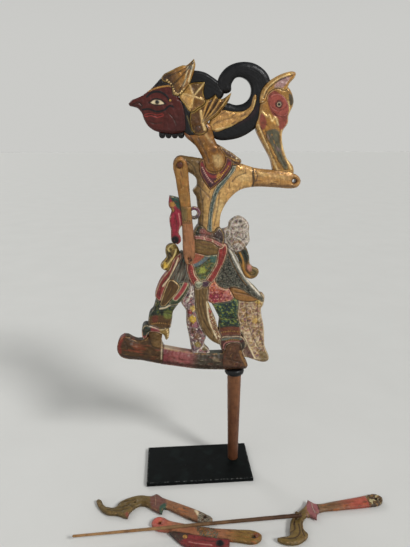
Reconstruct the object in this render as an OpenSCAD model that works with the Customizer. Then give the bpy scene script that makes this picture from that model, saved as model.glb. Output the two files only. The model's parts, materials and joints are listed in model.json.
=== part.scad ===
// Flat carved wooden puppet on a plate stand, with one arm hung and the other arm pieces laid out in front.
// X runs from the puppet's face to its back, Y away from the viewer, Z up.
// Zero is on the handle's axis, at the underside of the plate.

/* [Stand] */
// Length of the plate, along X
plate_length = 136; // [120:1:180]
// Depth of the plate, along Y
plate_depth = 74; // [60:1:84]
// Thickness of the plate
plate_thickness = 5; // [4:0.5:8]
// From the handle's axis to the plate's rear end
plate_rear_reach = 21; // [14:1:40]
// From the handle's axis to the plate's front edge
plate_front_reach = 43; // [30:1:48]
// Diameter of the pin that stands up into the handle
pin_diameter = 5; // [4:0.5:6]
// Height of the pin above the plate
pin_height = 40; // [25:1:60]
// Depth of the blind hole in the plate that holds the pin
pin_seat = 3.5; // [2:0.5:3.5]

/* [Handle] */
// Visible length, from the plate to the collar
handle_length = 127; // [100:1:160]
// Diameter at the foot
handle_foot_diameter = 13.5; // [11:0.5:16]
// Diameter at the top
handle_top_diameter = 18; // [17:0.5:20]
// Chamfer at both ends of the handle
handle_chamfer = 0.6; // [0.3:0.1:1.2]
// Outer diameter of the collar
collar_diameter = 25; // [22:0.5:28]
// Height of the collar
collar_height = 8; // [6:0.5:10]
// Diameter of the neck inside the collar
collar_neck_diameter = 14; // [12:0.5:15]
// Diameter of the tenon in the rear foot
tenon_diameter = 9; // [7:0.5:10]
// Length of the tenon in the rear foot
tenon_length = 14; // [10:0.5:17]

/* [Figure] */
// Height of the figure, from the sole to the tip of the diadem
figure_height = 365; // [320:1:400]
// Width of the figure, from the front toe to the tip of the rear shoulder
figure_width = 219; // [200:1:240]
// Thickness of the torso and neck
body_thickness = 18; // [15:0.5:22]
// Thickness of the feet and the base bar
foot_thickness = 20; // [18:0.5:24]
// Thickness of the legs
limb_thickness = 16; // [13:0.5:20]
// Thickness of the face, diadem and bird head
head_thickness = 15; // [12:0.5:18]
// Thickness of the hair
hair_thickness = 12; // [10:0.5:16]
// Thickness of the hanging cloth
cloth_thickness = 11; // [10:0.5:16]
// Thickness of the belt, necklace, sash, anklets and ear ornament
ornament_thickness = 19; // [16:0.5:23]
// How far the carved rounding drops from a face to its edge
edge_drop = 3; // [1.5:0.25:4]
// How far the carved rounding runs in from an edge
edge_run = 3.5; // [2:0.25:4.5]
// How proud the applied bands stand of the face below them
band_relief = 1; // [0.5:0.25:2]
// How deep the applied bands are let into the face below them
band_seat = 2.2; // [1:0.2:2.6]

/* [Arms] */
// Thickness of every arm piece
arm_thickness = 6; // [5:0.5:8]
// How far the rounding of an arm drops to its edge
arm_edge_drop = 1.2; // [0.6:0.2:2]
// Free space between the hung arm and the thickest part of the figure
arm_clear = 0.7; // [0.5:0.1:1.5]
// Diameter of the shoulder peg
peg_diameter = 4.4; // [3:0.2:5]
// Diameter of the shoulder peg's heads
peg_head_diameter = 7; // [6:0.2:8]
// Height of the shoulder peg's heads
peg_head = 1.4; // [1:0.2:2]
// Diameter of the raised seat on the near shoulder
shoulder_seat_diameter = 13; // [10:0.5:14]
// Diameter of the elbow holes
elbow_hole = 3.6; // [2.4:0.2:4.4]
// Width of the split in the elbow end of the hung arm
elbow_split = 1.6; // [1:0.2:2.2]
// Inner diameter of the armlet ring
armlet_ring_bore = 7; // [5:0.5:9]
// Outer diameter of the armlet ring
armlet_ring_diameter = 15; // [12:0.5:17]

/* [Rod] */
// Length of the control rod from its tie to its tip
rod_length = 250; // [180:1:300]
// Diameter of the rod at the tie
rod_butt_diameter = 5; // [4:0.25:6]
// Diameter of the rod at its tip
rod_tip_diameter = 3; // [2:0.25:4]
// Length of the rod beyond the tie
rod_overhang = 6; // [5:0.5:10]
// Angle of the rod as it lies, from +X towards +Y
rod_angle = 182.3; // [176:0.1:188]
// Diameter of the thread that ties the rod to the hand
thread_diameter = 2; // [1.2:0.2:2.4]
// Diameter of the thread's knot on top of the rod
thread_knot = 4.4; // [3.6:0.2:5]

/* [Fits] */
// Radial clearance where one piece turns in another
running_clearance = 0.05; // [0.02:0.01:0.1]
// Gap between faces that pass each other
side_clearance = 0.3; // [0.3:0.05:0.6]

/* [Hidden] */
$fn = 48;

// The outlines are drawn on a grid of millimetres whose sole line is at 140, at these drawn sizes
drawn_sole = 140;
drawn_height = 365;
drawn_width = 219;
curve_steps = 3;
through = 60;
stretch_x = figure_width / drawn_width;
stretch_z = figure_height / drawn_height;
arm_stretch = stretch_z;
sole_z = plate_thickness + handle_length + collar_height;

// Depths of the pieces, as half thicknesses either side of the middle plane
body_half = body_thickness / 2;
foot_half = foot_thickness / 2;
limb_half = limb_thickness / 2;
head_half = head_thickness / 2;
hair_half = hair_thickness / 2;
cloth_half = cloth_thickness / 2;
ornament_half = ornament_thickness / 2;
front_reach = max(body_half + band_relief, foot_half, limb_half, head_half + band_relief,
    hair_half + band_relief, cloth_half, ornament_half);
arm_back = front_reach + arm_clear;
arm_middle = arm_back + arm_thickness / 2;

// A control point with a third value is a corner; the others are passed through smoothly
function flat(p) = [p.x, p.y];
function wrap(list, i) = list[(i + len(list)) % len(list)];
function unit(v) = v / max(norm(v), 0.0001);
function heading(pts, i, side) =
    let (here = flat(pts[i]), next = flat(wrap(pts, i + 1)), last = flat(wrap(pts, i - 1)))
    len(pts[i]) < 3 ? unit(next - last) : side > 0 ? unit(next - here) : unit(here - last);
function blend(a, b, ta, tb, t) =
    a * (2 * t * t * t - 3 * t * t + 1) + ta * (t * t * t - 2 * t * t + t)
    + b * (3 * t * t - 2 * t * t * t) + tb * (t * t * t - t * t);
function area(pts) = 0.5 * sum([for (i = [0 : len(pts) - 1])
    pts[i].x * wrap(pts, i + 1).y - wrap(pts, i + 1).x * pts[i].y]);
function sum(list, i = 0) = i >= len(list) ? 0 : list[i] + sum(list, i + 1);
function turned(pts) = area(pts) > 0 ? pts : [for (i = [len(pts) - 1 : -1 : 0]) pts[i]];
function curve(pts) = turned([for (i = [0 : len(pts) - 1])
    let (j = (i + 1) % len(pts), a = flat(pts[i]), b = flat(pts[j]), span = norm(b - a),
        straight = len(pts[i]) > 2 && len(pts[j]) > 2)
    for (s = [0 : straight ? 0 : curve_steps - 1])
        blend(a, b, heading(pts, i, 1) * span, heading(pts, j, -1) * span, s / curve_steps)]);

// Places of the drawn grid on the standing figure and on the table
function on_figure(p) = [p.x * stretch_x, sole_z + (p.y - drawn_sole) * stretch_z];
function on_table(p) = [p.x * arm_stretch, p.y * arm_stretch];
function figure_curve(pts) = [for (p = curve(pts)) on_figure(p)];
function table_curve(pts) = [for (p = curve(pts)) on_table(p)];

// The inset edge of a carved face, held back where the piece is narrow or its outline bends sharply
no_limit = 1000;
narrow_share = 0.3;
bend_share = 0.42;
bend_taper = 0.35;
least_bend = 0.03;
bend_reach = 4;
function cross2(a, b) = a.x * b.y - a.y * b.x;
function inward(pts, i) = let (d = unit(wrap(pts, i + 1) - wrap(pts, i - 1))) [-d.y, d.x];
function reach(pts, i) = let (n = inward(pts, i), count = len(pts))
    min([for (k = [2 : count - 2])
        let (a = wrap(pts, i + k), e = wrap(pts, i + k + 1) - a, q = a - pts[i], d = cross2(n, e),
            u = abs(d) < 0.0001 ? -1 : cross2(q, e) / d, w = abs(d) < 0.0001 ? -1 : cross2(q, n) / d)
        u > 0.01 && w >= -0.001 && w <= 1.001 ? u : no_limit]);
function bend_room(pts, i) =
    let (a = pts[i] - wrap(pts, i - 1), b = wrap(pts, i + 1) - pts[i], la = norm(a), lb = norm(b),
        slope = cross2(a, b) / max(la * lb + a * b, 0.001))
    slope > least_bend ? bend_share * min(la, lb) / slope : no_limit;
function inset(pts, run) =
    let (room = [for (i = [0 : len(pts) - 1]) min(narrow_share * reach(pts, i), bend_room(pts, i))])
    [for (i = [0 : len(pts) - 1])
        let (held = min([for (k = [-bend_reach : bend_reach])
            wrap(room, i + k) + bend_taper * norm(wrap(pts, i + k) - pts[i])]))
        pts[i] + inward(pts, i) * min(run, held)];

// A flat face of one outline as triangles, by clipping one ear after another
function side(a, b, p) = cross2(b - a, p - a);
function covers(a, b, c, p) =
    p != a && p != b && p != c && side(a, b, p) >= 0 && side(b, c, p) >= 0 && side(c, a, p) >= 0;
function is_ear(pts, ring, i) =
    let (a = pts[wrap(ring, i - 1)], b = pts[ring[i]], c = pts[wrap(ring, i + 1)])
    side(a, b, c) > 0 && len([for (k = ring) if (covers(a, b, c, pts[k])) k]) == 0;
function first_ear(pts, ring, i = 0) =
    i >= len(ring) ? 0 : is_ear(pts, ring, i) ? i : first_ear(pts, ring, i + 1);
function ears(pts, ring) = len(ring) < 4 ? [ring] :
    let (i = first_ear(pts, ring))
    concat([[for (k = [-1 : 1]) wrap(ring, i + k)]],
        ears(pts, [for (k = [1 : len(ring) - 1]) wrap(ring, i + k)]));

// A board of one outline, with both faces rounded down to a thinner edge
module carved(outline, half, drop = edge_drop, run = edge_run) {
    count = len(outline);
    top = inset(outline, run);
    points = concat([for (p = top) [p.x, -half, p.y]], [for (p = outline) [p.x, drop - half, p.y]],
        [for (p = outline) [p.x, half - drop, p.y]], [for (p = top) [p.x, half, p.y]]);
    walls = [for (ring = [0 : 2]) for (i = [0 : count - 1])
        let (j = (i + 1) % count, a = ring * count, b = a + count)
        each [[a + i, a + j, b + j], [a + i, b + j, b + i]]];
    face = ears(top, [for (i = [0 : count - 1]) i]);
    front = [for (t = face) [t[2], t[1], t[0]]];
    back = [for (t = face) [for (i = t) 3 * count + i]];
    polyhedron(points, concat(front, walls, back));
}

// A straight prism of an outline, from one depth to another
module prism(outline, from, to)
    translate([0, to, 0])
        rotate([90, 0, 0])
            linear_extrude(to - from)
                polygon(outline);

// The room that a neighbour's outline takes out of a piece, right through
module scribe(outlines)
    for (outline = outlines)
        prism(outline, -through, through);

// A band let into both faces of the piece that carries it
module band(outline, seat, proud) {
    prism(outline, seat, proud);
    mirror([0, 1, 0])
        prism(outline, seat, proud);
}

// All the room on one side of an upright plane across X, where one piece is let on to the next
room = 1000;
module beyond(x, side)
    translate([x + (side - 1) * room / 2, -room / 2, -room / 2])
        cube(room);

// A round hole or pin across the board, at a place on the drawn grid
module across(place, diameter, from, to) {
    p = on_figure(place);
    translate([p.x, to, p.y])
        rotate([90, 0, 0])
            cylinder(h = to - from, d = diameter);
}

// A carved piece that lies on the table, drawn in X and Y
module lying(outline)
    translate([0, 0, arm_thickness / 2])
        rotate([-90, 0, 0])
            carved(outline, arm_thickness / 2, arm_edge_drop);

// A round upright hole through a lying piece
module table_hole(place, diameter) {
    p = on_table(place);
    translate([p.x, p.y, -through / 2])
        cylinder(h = through, d = diameter);
}

// Outlines of the feet and the base
rear_foot_line = figure_curve([[-16, 140, 1], [14, 140, 1], [16.5, 145], [12, 155], [8, 166], [8, 182, 1],
    [-12, 182, 1], [-13.5, 170], [-16, 162]]);
base_bar_line = figure_curve([[-92, 150.5, 1], [-70, 146.3], [-45, 142], [-16, 140, 1], [-12, 163, 1],
    [-40, 163.5], [-60, 166], [-90, 173, 1]]);
front_foot_line = figure_curve([[-105, 199, 1], [-110, 187], [-122, 183.5], [-138, 190], [-147, 176],
    [-142, 162], [-118, 157], [-92, 150.5, 1], [-90, 173, 1], [-92, 181], [-90, 198, 1]]);
front_anklet_line = figure_curve([[-113, 186], [-116, 194], [-113, 204], [-103, 203], [-92, 199],
    [-84, 199.5],
    [-82.5, 192], [-86, 184], [-89, 190], [-98, 195.5], [-107, 195]]);
rear_anklet_line = figure_curve([[-20, 178], [-18, 186], [-6, 187], [7, 186], [13, 177], [9.5, 167],
    [6, 171],
    [5, 177], [-3, 178], [-11, 175], [-15, 166], [-18.5, 171]]);

// Outlines of the front leg and what hangs beside it
front_knee_line = figure_curve([[-80, 262], [-71, 257], [-69, 251], [-80, 236], [-91, 228], [-90, 241],
    [-85, 254]]);
knee_sash_line = figure_curve([[-74, 255], [-63, 258], [-57, 254], [-61, 243], [-70, 231], [-82, 231],
    [-79, 244]]);
front_flap_line = figure_curve([[-66, 293], [-72, 278], [-80, 264], [-85, 250], [-90, 236], [-98, 239],
    [-96, 251], [-90, 263], [-81, 274], [-75, 287]]);
front_shin_line = figure_curve([[-84, 252], [-95, 243], [-101, 225], [-106, 218], [-106, 199], [-84, 196],
    [-79, 209], [-77, 221], [-69, 234], [-72, 246]]);
front_thigh_line = figure_curve([[-66, 295], [-58, 284], [-56, 264], [-64, 250], [-80, 254], [-84, 266],
    [-74, 284]]);
hip_scroll_line = figure_curve([[-75, 304], [-83, 302], [-85, 295], [-84, 288], [-91, 278], [-86, 272],
    [-78, 274], [-68, 286], [-69, 297]]);

// Outlines of the rear leg and the cloth behind it
rear_leg_line = figure_curve([[-32, 238], [-27, 224], [-20.5, 209], [-21, 196], [-18, 182], [5, 182],
    [6, 196],
    [2, 212], [1, 240], [-15, 244]]);
thigh_brocade_line = figure_curve([[-37, 258], [-28, 264], [-18, 258], [-12, 251], [-4, 246], [-2, 239],
    [-8, 233], [-22, 231], [-33, 231], [-38, 244]]);
skirt_panel_line = figure_curve([[-15, 301], [-4, 293], [6, 273], [13, 259], [24, 248], [31.5, 238],
    [34.5, 230],
    [26, 234], [16, 240], [6, 247], [-4, 250], [-14, 248], [-26, 258], [-20, 272], [-17, 289]]);
skirt_lining_line = figure_curve([[-9, 251], [4, 254], [16, 246], [29, 236], [24, 231.5], [14, 230.5],
    [0, 234], [-6, 243]]);
trailing_cloth_line = figure_curve([[0, 240], [33, 240], [34.5, 226], [31.5, 219], [36, 195], [38, 170],
    [44, 152], [38, 147.5], [28, 150], [18, 154], [6, 158], [4, 168], [7, 178], [3, 192], [-2, 206],
    [-1, 222]]);
cloth_fan_line = figure_curve([[-14, 302], [-21, 312], [-19, 320], [-11, 323], [-9, 330], [2, 336],
    [13, 328],
    [14, 316], [15, 306], [9, 298], [-2, 293]]);
fan_tail_line = figure_curve([[2, 304], [10, 300], [15, 288], [16, 279], [20, 274], [27, 270], [25, 262],
    [18, 259], [11, 262], [6, 272], [2, 284], [-4, 296]]);

// Outlines of the apron, sashes and hanging ends
knot_front_line = figure_curve([[-51, 255], [-46.5, 259.5], [-42, 255], [-46.5, 249.5]]);
knot_rear_line = figure_curve([[-45, 255.5], [-38, 260], [-32.5, 256], [-37, 251]]);
belt_line = figure_curve([[-52, 311], [-50, 321], [-44, 327], [-36, 320], [-29, 319], [-23, 324],
    [-17, 318],
    [-16, 307], [-20, 300], [-31, 306], [-42, 309]]);
belly_line = figure_curve([[-52, 315], [-36, 314], [-18, 306], [-19, 292], [-36, 286], [-52, 288]]);
apron_line = figure_curve([[-56, 294], [-46, 293], [-36, 290.5], [-16, 290], [-19, 279], [-29, 264],
    [-38, 256],
    [-48, 256], [-54, 266], [-58, 281]]);
sash_right_line = figure_curve([[-21, 303], [-12.5, 302], [-14, 287], [-19, 275], [-28, 259], [-38, 255],
    [-32, 268], [-25, 281]]);
sash_left_line = figure_curve([[-60, 281], [-58, 265], [-51, 253], [-44, 256], [-50, 267], [-54, 281]]);
tail_line = figure_curve([[-49, 256], [-50, 230], [-48, 214], [-41, 194], [-31, 181], [-19, 174, 1],
    [-17, 184],
    [-21, 193], [-25, 207], [-31, 222], [-35, 234], [-36, 256]]);
middle_strip_line = figure_curve([[-64, 256], [-67, 231], [-61.5, 221], [-61, 204], [-57, 180],
    [-54, 158, 1],
    [-31, 158, 1], [-33, 167], [-39, 175], [-37, 186], [-42, 200], [-46, 214], [-46, 234], [-48, 256]]);

// Outlines of the body
torso_line = figure_curve([[-74, 396], [-69, 404.5], [-56, 404], [-42, 402], [-20, 401], [0, 397],
    [20, 391],
    [45, 388], [66, 384], [72.5, 376], [67, 368.5], [45, 369], [20, 370], [2, 366.5], [-12, 354],
    [-20, 338],
    [-23, 318], [-36, 312], [-46, 316], [-46, 332], [-48, 358], [-52, 366], [-47.5, 372], [-49, 381],
    [-60, 388], [-70, 389]]);
neck_line = figure_curve([[-62, 430], [-48, 415], [-40, 401], [-36, 390], [-28, 387], [-20, 390],
    [-15.5, 402],
    [-22, 413], [-28, 424], [-34, 440], [-54, 444]]);
necklace_line = figure_curve([[-43, 400], [-45, 390], [-42, 381], [-33, 367, 1], [-20, 377], [-9, 391],
    [-9, 401],
    [-26, 404]]);
shoulder_drape_line = figure_curve([[-31, 418], [-13, 411], [-3, 404.5], [3, 398], [-6, 394], [-14, 396],
    [-30, 405]]);
chest_sash_line = figure_curve([[-12, 396], [-3, 394], [-12, 379], [-22, 366], [-27, 352], [-30, 333],
    [-31, 314],
    [-36, 314], [-35, 332], [-33, 350], [-28, 367], [-18, 382]]);

// Outlines of the head and hair
face_line = figure_curve([[-78, 490], [-97, 474.5], [-107, 467.5], [-121, 459.5], [-112, 455.5],
    [-107, 450],
    [-105, 444], [-100, 436], [-90, 430.5], [-62, 430.5], [-60, 442], [-62, 456], [-67, 468], [-66, 482]]);
diadem_line = figure_curve([[-85.5, 485], [-73, 494], [-62, 498.5], [-58, 498.5], [-50, 505, 1],
    [-48.5, 499], [-51, 490],
    [-55, 480], [-60, 474], [-66, 468], [-73, 469], [-75, 478]]);
side_lock_line = figure_curve([[-70, 466], [-60, 460], [-52, 450], [-50, 440], [-48, 429], [-58, 428],
    [-64, 436],
    [-66, 452]]);
hair_cap_line = figure_curve([[-54, 493], [-40, 492.5], [-30, 487.5], [-21, 480.5], [-17, 472],
    [-22, 464], [-34, 460],
    [-48, 466], [-60, 474], [-58, 486]]);
ear_star_line = figure_curve([[-66, 468], [-55, 480], [-38.5, 482, 1], [-40, 471], [-38, 461],
    [-46, 455], [-54, 451],
    [-61, 459]]);
ear_leaves_line = figure_curve([[-49, 466], [-36, 464], [-27, 469.5, 1], [-24, 465.5], [-19, 465],
    [-9.5, 471.5, 1],
    [-13, 462], [-26, 447], [-37, 439], [-36, 431], [-46, 427], [-53, 432], [-55, 447]]);
hair_curl_line = figure_curve([[-33, 430], [-25, 422.5], [-10, 422], [6, 426.5], [22, 438], [33, 456],
    [35, 474],
    [31, 490], [18, 500.5], [3, 503], [-12, 499], [-21.5, 490], [-24, 480], [-18, 471.5], [-10, 473],
    [-9, 480.5], [-3, 487.5], [7, 485.5], [12.5, 478], [12, 468.5], [6, 461.5], [-4, 459],
    [-15, 461], [-23, 454], [-31, 442]]);
crescent_line = figure_curve([[-33, 441], [-20, 453], [-8, 452], [4, 452.5], [12, 458], [16.5, 470],
    [17.5, 461],
    [11, 449], [0, 441], [-16, 433.5], [-28, 431]]);

// Scalloped lower edge of the beard, as a row of half circles
beard_lobes = 4;
beard_from = -89;
beard_to = -61;
beard_low = 427;
beard_top = 435;
lobe_radius = (beard_to - beard_from) / beard_lobes / 2;
lobe_turn = 30;
beard_line = [for (p = concat([[beard_to, beard_top], [beard_from, beard_top]],
    [for (i = [0 : beard_lobes - 1]) for (a = [180 : lobe_turn : 330])
        [beard_from + (2 * i + 1) * lobe_radius, beard_low] + lobe_radius * [cos(a), sin(a)]],
    [[beard_to, beard_low]])) on_figure(p)];

// Outlines of the bird head that looks back from the shoulder
bird_head_line = figure_curve([[24, 464], [21, 446], [18.5, 436], [26, 420], [37, 401], [44, 382],
    [62, 380], [63, 392],
    [55, 402], [49, 420], [49, 431], [54.5, 440], [55, 448], [60, 463], [52, 479], [36, 484]]);
bird_ear_line = figure_curve([[22, 461], [25, 476], [38, 487.5], [55, 493.5], [61, 491], [54, 481],
    [50, 474], [40, 476],
    [31, 471], [28, 463]]);
bird_cheek_line = figure_curve([[31, 466], [40, 471], [49, 467], [54.5, 456], [51, 447], [41, 448],
    [34, 455]]);
bird_beak_line = figure_curve([[29, 430], [37, 413], [51, 390], [57.5, 390], [51, 404], [46.5, 420],
    [45, 431],
    [37, 434]]);
bird_eye = [43.5, 460];
bird_eye_diameter = 7;

// Outlines of the hung arm
shoulder_split = 15.5;
near_shoulder = [-67, 395.5];
near_elbow = [-57.5, 288.5];
far_shoulder = [65, 376.3];
near_arm_line = figure_curve([[-74, 396], [-66.5, 404.5], [-59, 397], [-57, 378], [-55.5, 358], [-54, 340],
    [-52, 318], [-50.5, 296], [-57, 280], [-63.5, 290], [-65, 318], [-66, 342], [-69.5, 365], [-72, 382]]);
armlet_wing_line = figure_curve([[-79, 362, 1], [-70, 360], [-62, 354], [-60, 342], [-60, 328], [-66, 327],
    [-69, 320], [-66.5, 312], [-70, 306.5], [-77, 309], [-78, 322], [-79.5, 336], [-77, 345], [-80, 351]]);
armlet_ring_middle = [-51.5, 342];

// Outlines of the pieces on the table
near_forearm_line = table_curve([[-172.5, -64.5], [-163, -76], [-151, -79.5], [-146, -72], [-136, -65.5],
    [-122, -62],
    [-108, -64.5], [-102, -61.5], [-95, -68], [-80, -76.5], [-60, -88], [-43, -100], [-37.5, -107],
    [-42, -112],
    [-60, -105.5], [-80, -92], [-92, -85], [-95.5, -93.5, 1], [-106, -86], [-115, -79], [-124, -79.5],
    [-132, -88],
    [-135, -97, 1], [-146, -91.5], [-160, -88], [-170, -77]]);
far_arm_line = table_curve([[-107, -107], [-99, -98.5], [-85, -106], [-62, -113.5], [-38, -120],
    [-12, -124],
    [6, -127], [14, -135], [6, -143.5], [-14, -139.5], [-38, -135], [-62, -128.5], [-86, -121],
    [-101, -116.5]]);
far_wing_line = table_curve([[-87, -122, 1], [-66, -124], [-40, -130], [-24, -134], [-24, -146],
    [-38, -150.5],
    [-56, -146], [-72, -139.5], [-81, -130]]);
far_forearm_line = table_curve([[170.5, -89], [163, -82.5], [148, -84.7], [110, -90.5], [88, -93],
    [79.5, -85.5, 1],
    [74, -95], [63, -104], [52, -115], [47, -128], [44, -137], [31, -139], [31, -143], [43, -148.3],
    [54, -147],
    [65, -138], [62.5, -129], [65.5, -117], [73, -110.5], [81.5, -116, 1], [87, -105.5], [110, -103],
    [148, -101],
    [164, -98.5]]);
near_forearm_elbow = [-46, -103.5];
near_hand_hole = [-128, -73];
far_arm_shoulder = [5, -135.3];
far_arm_elbow = [-98, -107.8];
far_forearm_elbow = [162, -90.6];
wrist_split = 88;
rod_tie = [58, -114];
rod_middle_z = arm_thickness + side_clearance + rod_butt_diameter / 2;
rod_flats = 12;

// Stand and handle
module stand_plate() {
    color("#16201f")
    difference() {
        translate([plate_rear_reach - plate_length, -plate_front_reach, 0])
            cube([plate_length, plate_depth, plate_thickness]);
        translate([0, 0, plate_thickness - pin_seat])
            cylinder(h = pin_seat + 1, d = pin_diameter);
    }
}

module stand_pin() {
    color("#8c8f92")
    translate([0, 0, plate_thickness - pin_seat])
        cylinder(h = pin_seat + pin_height, d = pin_diameter);
}

module handle() {
    foot_r = handle_foot_diameter / 2;
    top_r = handle_top_diameter / 2;
    foot_z = plate_thickness;
    top_z = plate_thickness + handle_length;
    color("#4d2117")
    difference() {
        rotate_extrude()
            polygon([[0, foot_z], [foot_r - handle_chamfer, foot_z], [foot_r, foot_z + handle_chamfer],
                [top_r, top_z - handle_chamfer], [top_r - handle_chamfer, top_z],
                [collar_neck_diameter / 2, top_z], [collar_neck_diameter / 2, sole_z],
                [tenon_diameter / 2, sole_z], [tenon_diameter / 2, sole_z + tenon_length],
                [0, sole_z + tenon_length]]);
        translate([0, 0, foot_z - 1])
            cylinder(h = pin_height + 2, d = pin_diameter + 2 * running_clearance);
    }
}

module handle_collar() {
    bead = collar_height / 2;
    waist = collar_diameter / 2 - bead;
    color("#1b1613")
    translate([0, 0, sole_z - bead])
        rotate_extrude()
            difference() {
                union() {
                    translate([waist, 0])
                        circle(r = bead);
                    translate([collar_neck_diameter / 2, -bead])
                        square([max(waist - collar_neck_diameter / 2, 0.5), collar_height]);
                }
                translate([0, -bead])
                    square([collar_neck_diameter / 2, collar_height]);
            }
}

// Feet, base bar and anklets
module rear_foot() {
    color("#3c2116")
    difference() {
        carved(rear_foot_line, foot_half);
        scribe([rear_anklet_line]);
        translate([0, 0, sole_z - 1])
            cylinder(h = tenon_length + 1, d = tenon_diameter);
    }
}

module base_bar() {
    color("#6b2433")
    difference() {
        carved(base_bar_line, foot_half);
        scribe([rear_foot_line, front_foot_line]);
    }
}

module front_foot() {
    color("#5a2a1a")
    difference() {
        carved(front_foot_line, foot_half);
        scribe([front_anklet_line]);
    }
}

module front_anklet() {
    color("#5f5a3a")
    carved(front_anklet_line, ornament_half);
}

module rear_anklet() {
    color("#6f5f38")
    carved(rear_anklet_line, ornament_half);
}

// Front leg
module front_shin() {
    color("#27331f")
    difference() {
        carved(front_shin_line, limb_half);
        scribe([front_anklet_line, front_knee_line, knee_sash_line, front_flap_line, front_foot_line]);
    }
}

module front_knee() {
    color("#50301c")
    carved(front_knee_line, ornament_half);
}

module knee_sash() {
    color("#8a4a44")
    difference() {
        carved(knee_sash_line, limb_half);
        scribe([front_knee_line]);
    }
}

module front_flap() {
    color("#8a3a33")
    difference() {
        carved(front_flap_line, limb_half);
        scribe([front_knee_line]);
    }
}

module front_thigh() {
    color("#2a3326")
    difference() {
        carved(front_thigh_line, limb_half);
        scribe([front_flap_line, front_knee_line, knee_sash_line, sash_left_line, apron_line]);
    }
}

module hip_scroll() {
    color("#7d6a3a")
    difference() {
        carved(hip_scroll_line, cloth_half);
        scribe([front_flap_line, front_thigh_line]);
    }
}

// Rear leg and the cloth behind it
module rear_leg() {
    color("#3f4a25")
    difference() {
        carved(rear_leg_line, limb_half);
        scribe([rear_anklet_line, thigh_brocade_line, tail_line, skirt_lining_line, rear_foot_line]);
    }
}

module thigh_brocade() {
    color("#8c4b44")
    difference() {
        carved(thigh_brocade_line, limb_half);
        scribe([tail_line, sash_right_line, skirt_panel_line, skirt_lining_line, knot_rear_line]);
    }
}

module skirt_panel() {
    color("#4a4f4a")
    difference() {
        carved(skirt_panel_line, cloth_half);
        scribe([sash_right_line, fan_tail_line, cloth_fan_line, belt_line]);
    }
}

module skirt_lining() {
    color("#7d5a33")
    difference() {
        carved(skirt_lining_line, cloth_half);
        scribe([skirt_panel_line]);
    }
}

module trailing_cloth() {
    color("#a58f72")
    difference() {
        carved(trailing_cloth_line, cloth_half);
        scribe([skirt_panel_line, skirt_lining_line, rear_leg_line, rear_anklet_line, rear_foot_line,
            thigh_brocade_line]);
    }
}

module cloth_fan() {
    color("#9a9390")
    difference() {
        carved(cloth_fan_line, cloth_half);
        scribe([belt_line, torso_line, sash_right_line]);
    }
}

module fan_tail() {
    color("#6d6a44")
    difference() {
        carved(fan_tail_line, cloth_half);
        scribe([cloth_fan_line]);
    }
}

// Apron, sashes and hanging ends
module middle_strip() {
    color("#7a6a48")
    difference() {
        carved(middle_strip_line, cloth_half);
        scribe([base_bar_line, tail_line, sash_left_line, knee_sash_line, knot_front_line, front_thigh_line,
            apron_line]);
    }
}

module tail() {
    color("#6a4f2c")
    difference() {
        carved(tail_line, limb_half);
        scribe([knot_front_line, knot_rear_line, rear_anklet_line, sash_left_line, sash_right_line,
            apron_line]);
    }
}

module apron() {
    color("#586047")
    difference() {
        carved(apron_line, limb_half);
        scribe([sash_left_line, sash_right_line, knot_front_line, knot_rear_line]);
    }
}

module belly() {
    color("#7d6335")
    difference() {
        carved(belly_line, body_half);
        scribe([belt_line, apron_line, sash_right_line]);
    }
}

module sash_right() {
    color("#8a3833")
    difference() {
        carved(sash_right_line, ornament_half);
        scribe([knot_front_line, knot_rear_line, belt_line]);
    }
}

module sash_left() {
    color("#8a3833")
    difference() {
        carved(sash_left_line, ornament_half);
        scribe([knot_front_line]);
    }
}

module sash_knot() {
    color("#6a6a60") {
        carved(knot_front_line, ornament_half);
        difference() {
            carved(knot_rear_line, ornament_half);
            scribe([knot_front_line]);
        }
    }
}

module belt() {
    color("#8d7352")
    carved(belt_line, ornament_half);
}

// Body
module torso() {
    seat = on_figure(near_shoulder);
    color("#8a6a35")
    difference() {
        union() {
            carved(torso_line, body_half);
            translate([seat.x, 0, seat.y])
                rotate([90, 0, 0])
                    cylinder(h = arm_back - side_clearance, d = shoulder_seat_diameter);
        }
        scribe([neck_line, necklace_line, shoulder_drape_line, belt_line]);
        band(chest_sash_line, body_half - band_seat, through);
        across(near_shoulder, peg_diameter + 2 * running_clearance, -through, through);
        beyond(on_figure([shoulder_split, drawn_sole]).x, 1);
    }
}

module far_shoulder_stub() {
    color("#8a6a35")
    difference() {
        carved(torso_line, body_half);
        across(far_shoulder, peg_diameter + 2 * running_clearance, -through, through);
        beyond(on_figure([shoulder_split, drawn_sole]).x, -1);
    }
}

module necklace() {
    color("#43282a")
    difference() {
        carved(necklace_line, ornament_half);
        scribe([neck_line]);
    }
}

module shoulder_drape() {
    color("#5a3a30")
    difference() {
        carved(shoulder_drape_line, body_half);
        scribe([neck_line, necklace_line]);
    }
}

module chest_sash() {
    color("#66695a")
    difference() {
        band(chest_sash_line, body_half - band_seat, body_half + band_relief);
        scribe([necklace_line, belt_line, shoulder_drape_line]);
    }
}

module neck() {
    color("#8f6d38")
    difference() {
        carved(neck_line, body_half);
        scribe([ear_leaves_line, ear_star_line, side_lock_line, face_line, beard_line]);
    }
}

// Head
module face() {
    color("#5f2320")
    difference() {
        carved(face_line, head_half);
        scribe([diadem_line]);
    }
}

module beard() {
    color("#1c1e20")
    difference() {
        prism(beard_line, edge_drop - head_half, head_half - edge_drop);
        scribe([face_line, side_lock_line]);
    }
}

module side_lock() {
    color("#1c1e20")
    difference() {
        carved(side_lock_line, head_half);
        scribe([face_line, ear_star_line, ear_leaves_line, diadem_line]);
    }
}

module diadem() {
    color("#94703a")
    carved(diadem_line, head_half + band_relief);
}

module hair_cap() {
    color("#1c1e20")
    difference() {
        carved(hair_cap_line, hair_half);
        scribe([diadem_line, ear_star_line, ear_leaves_line, hair_curl_line]);
    }
}

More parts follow.
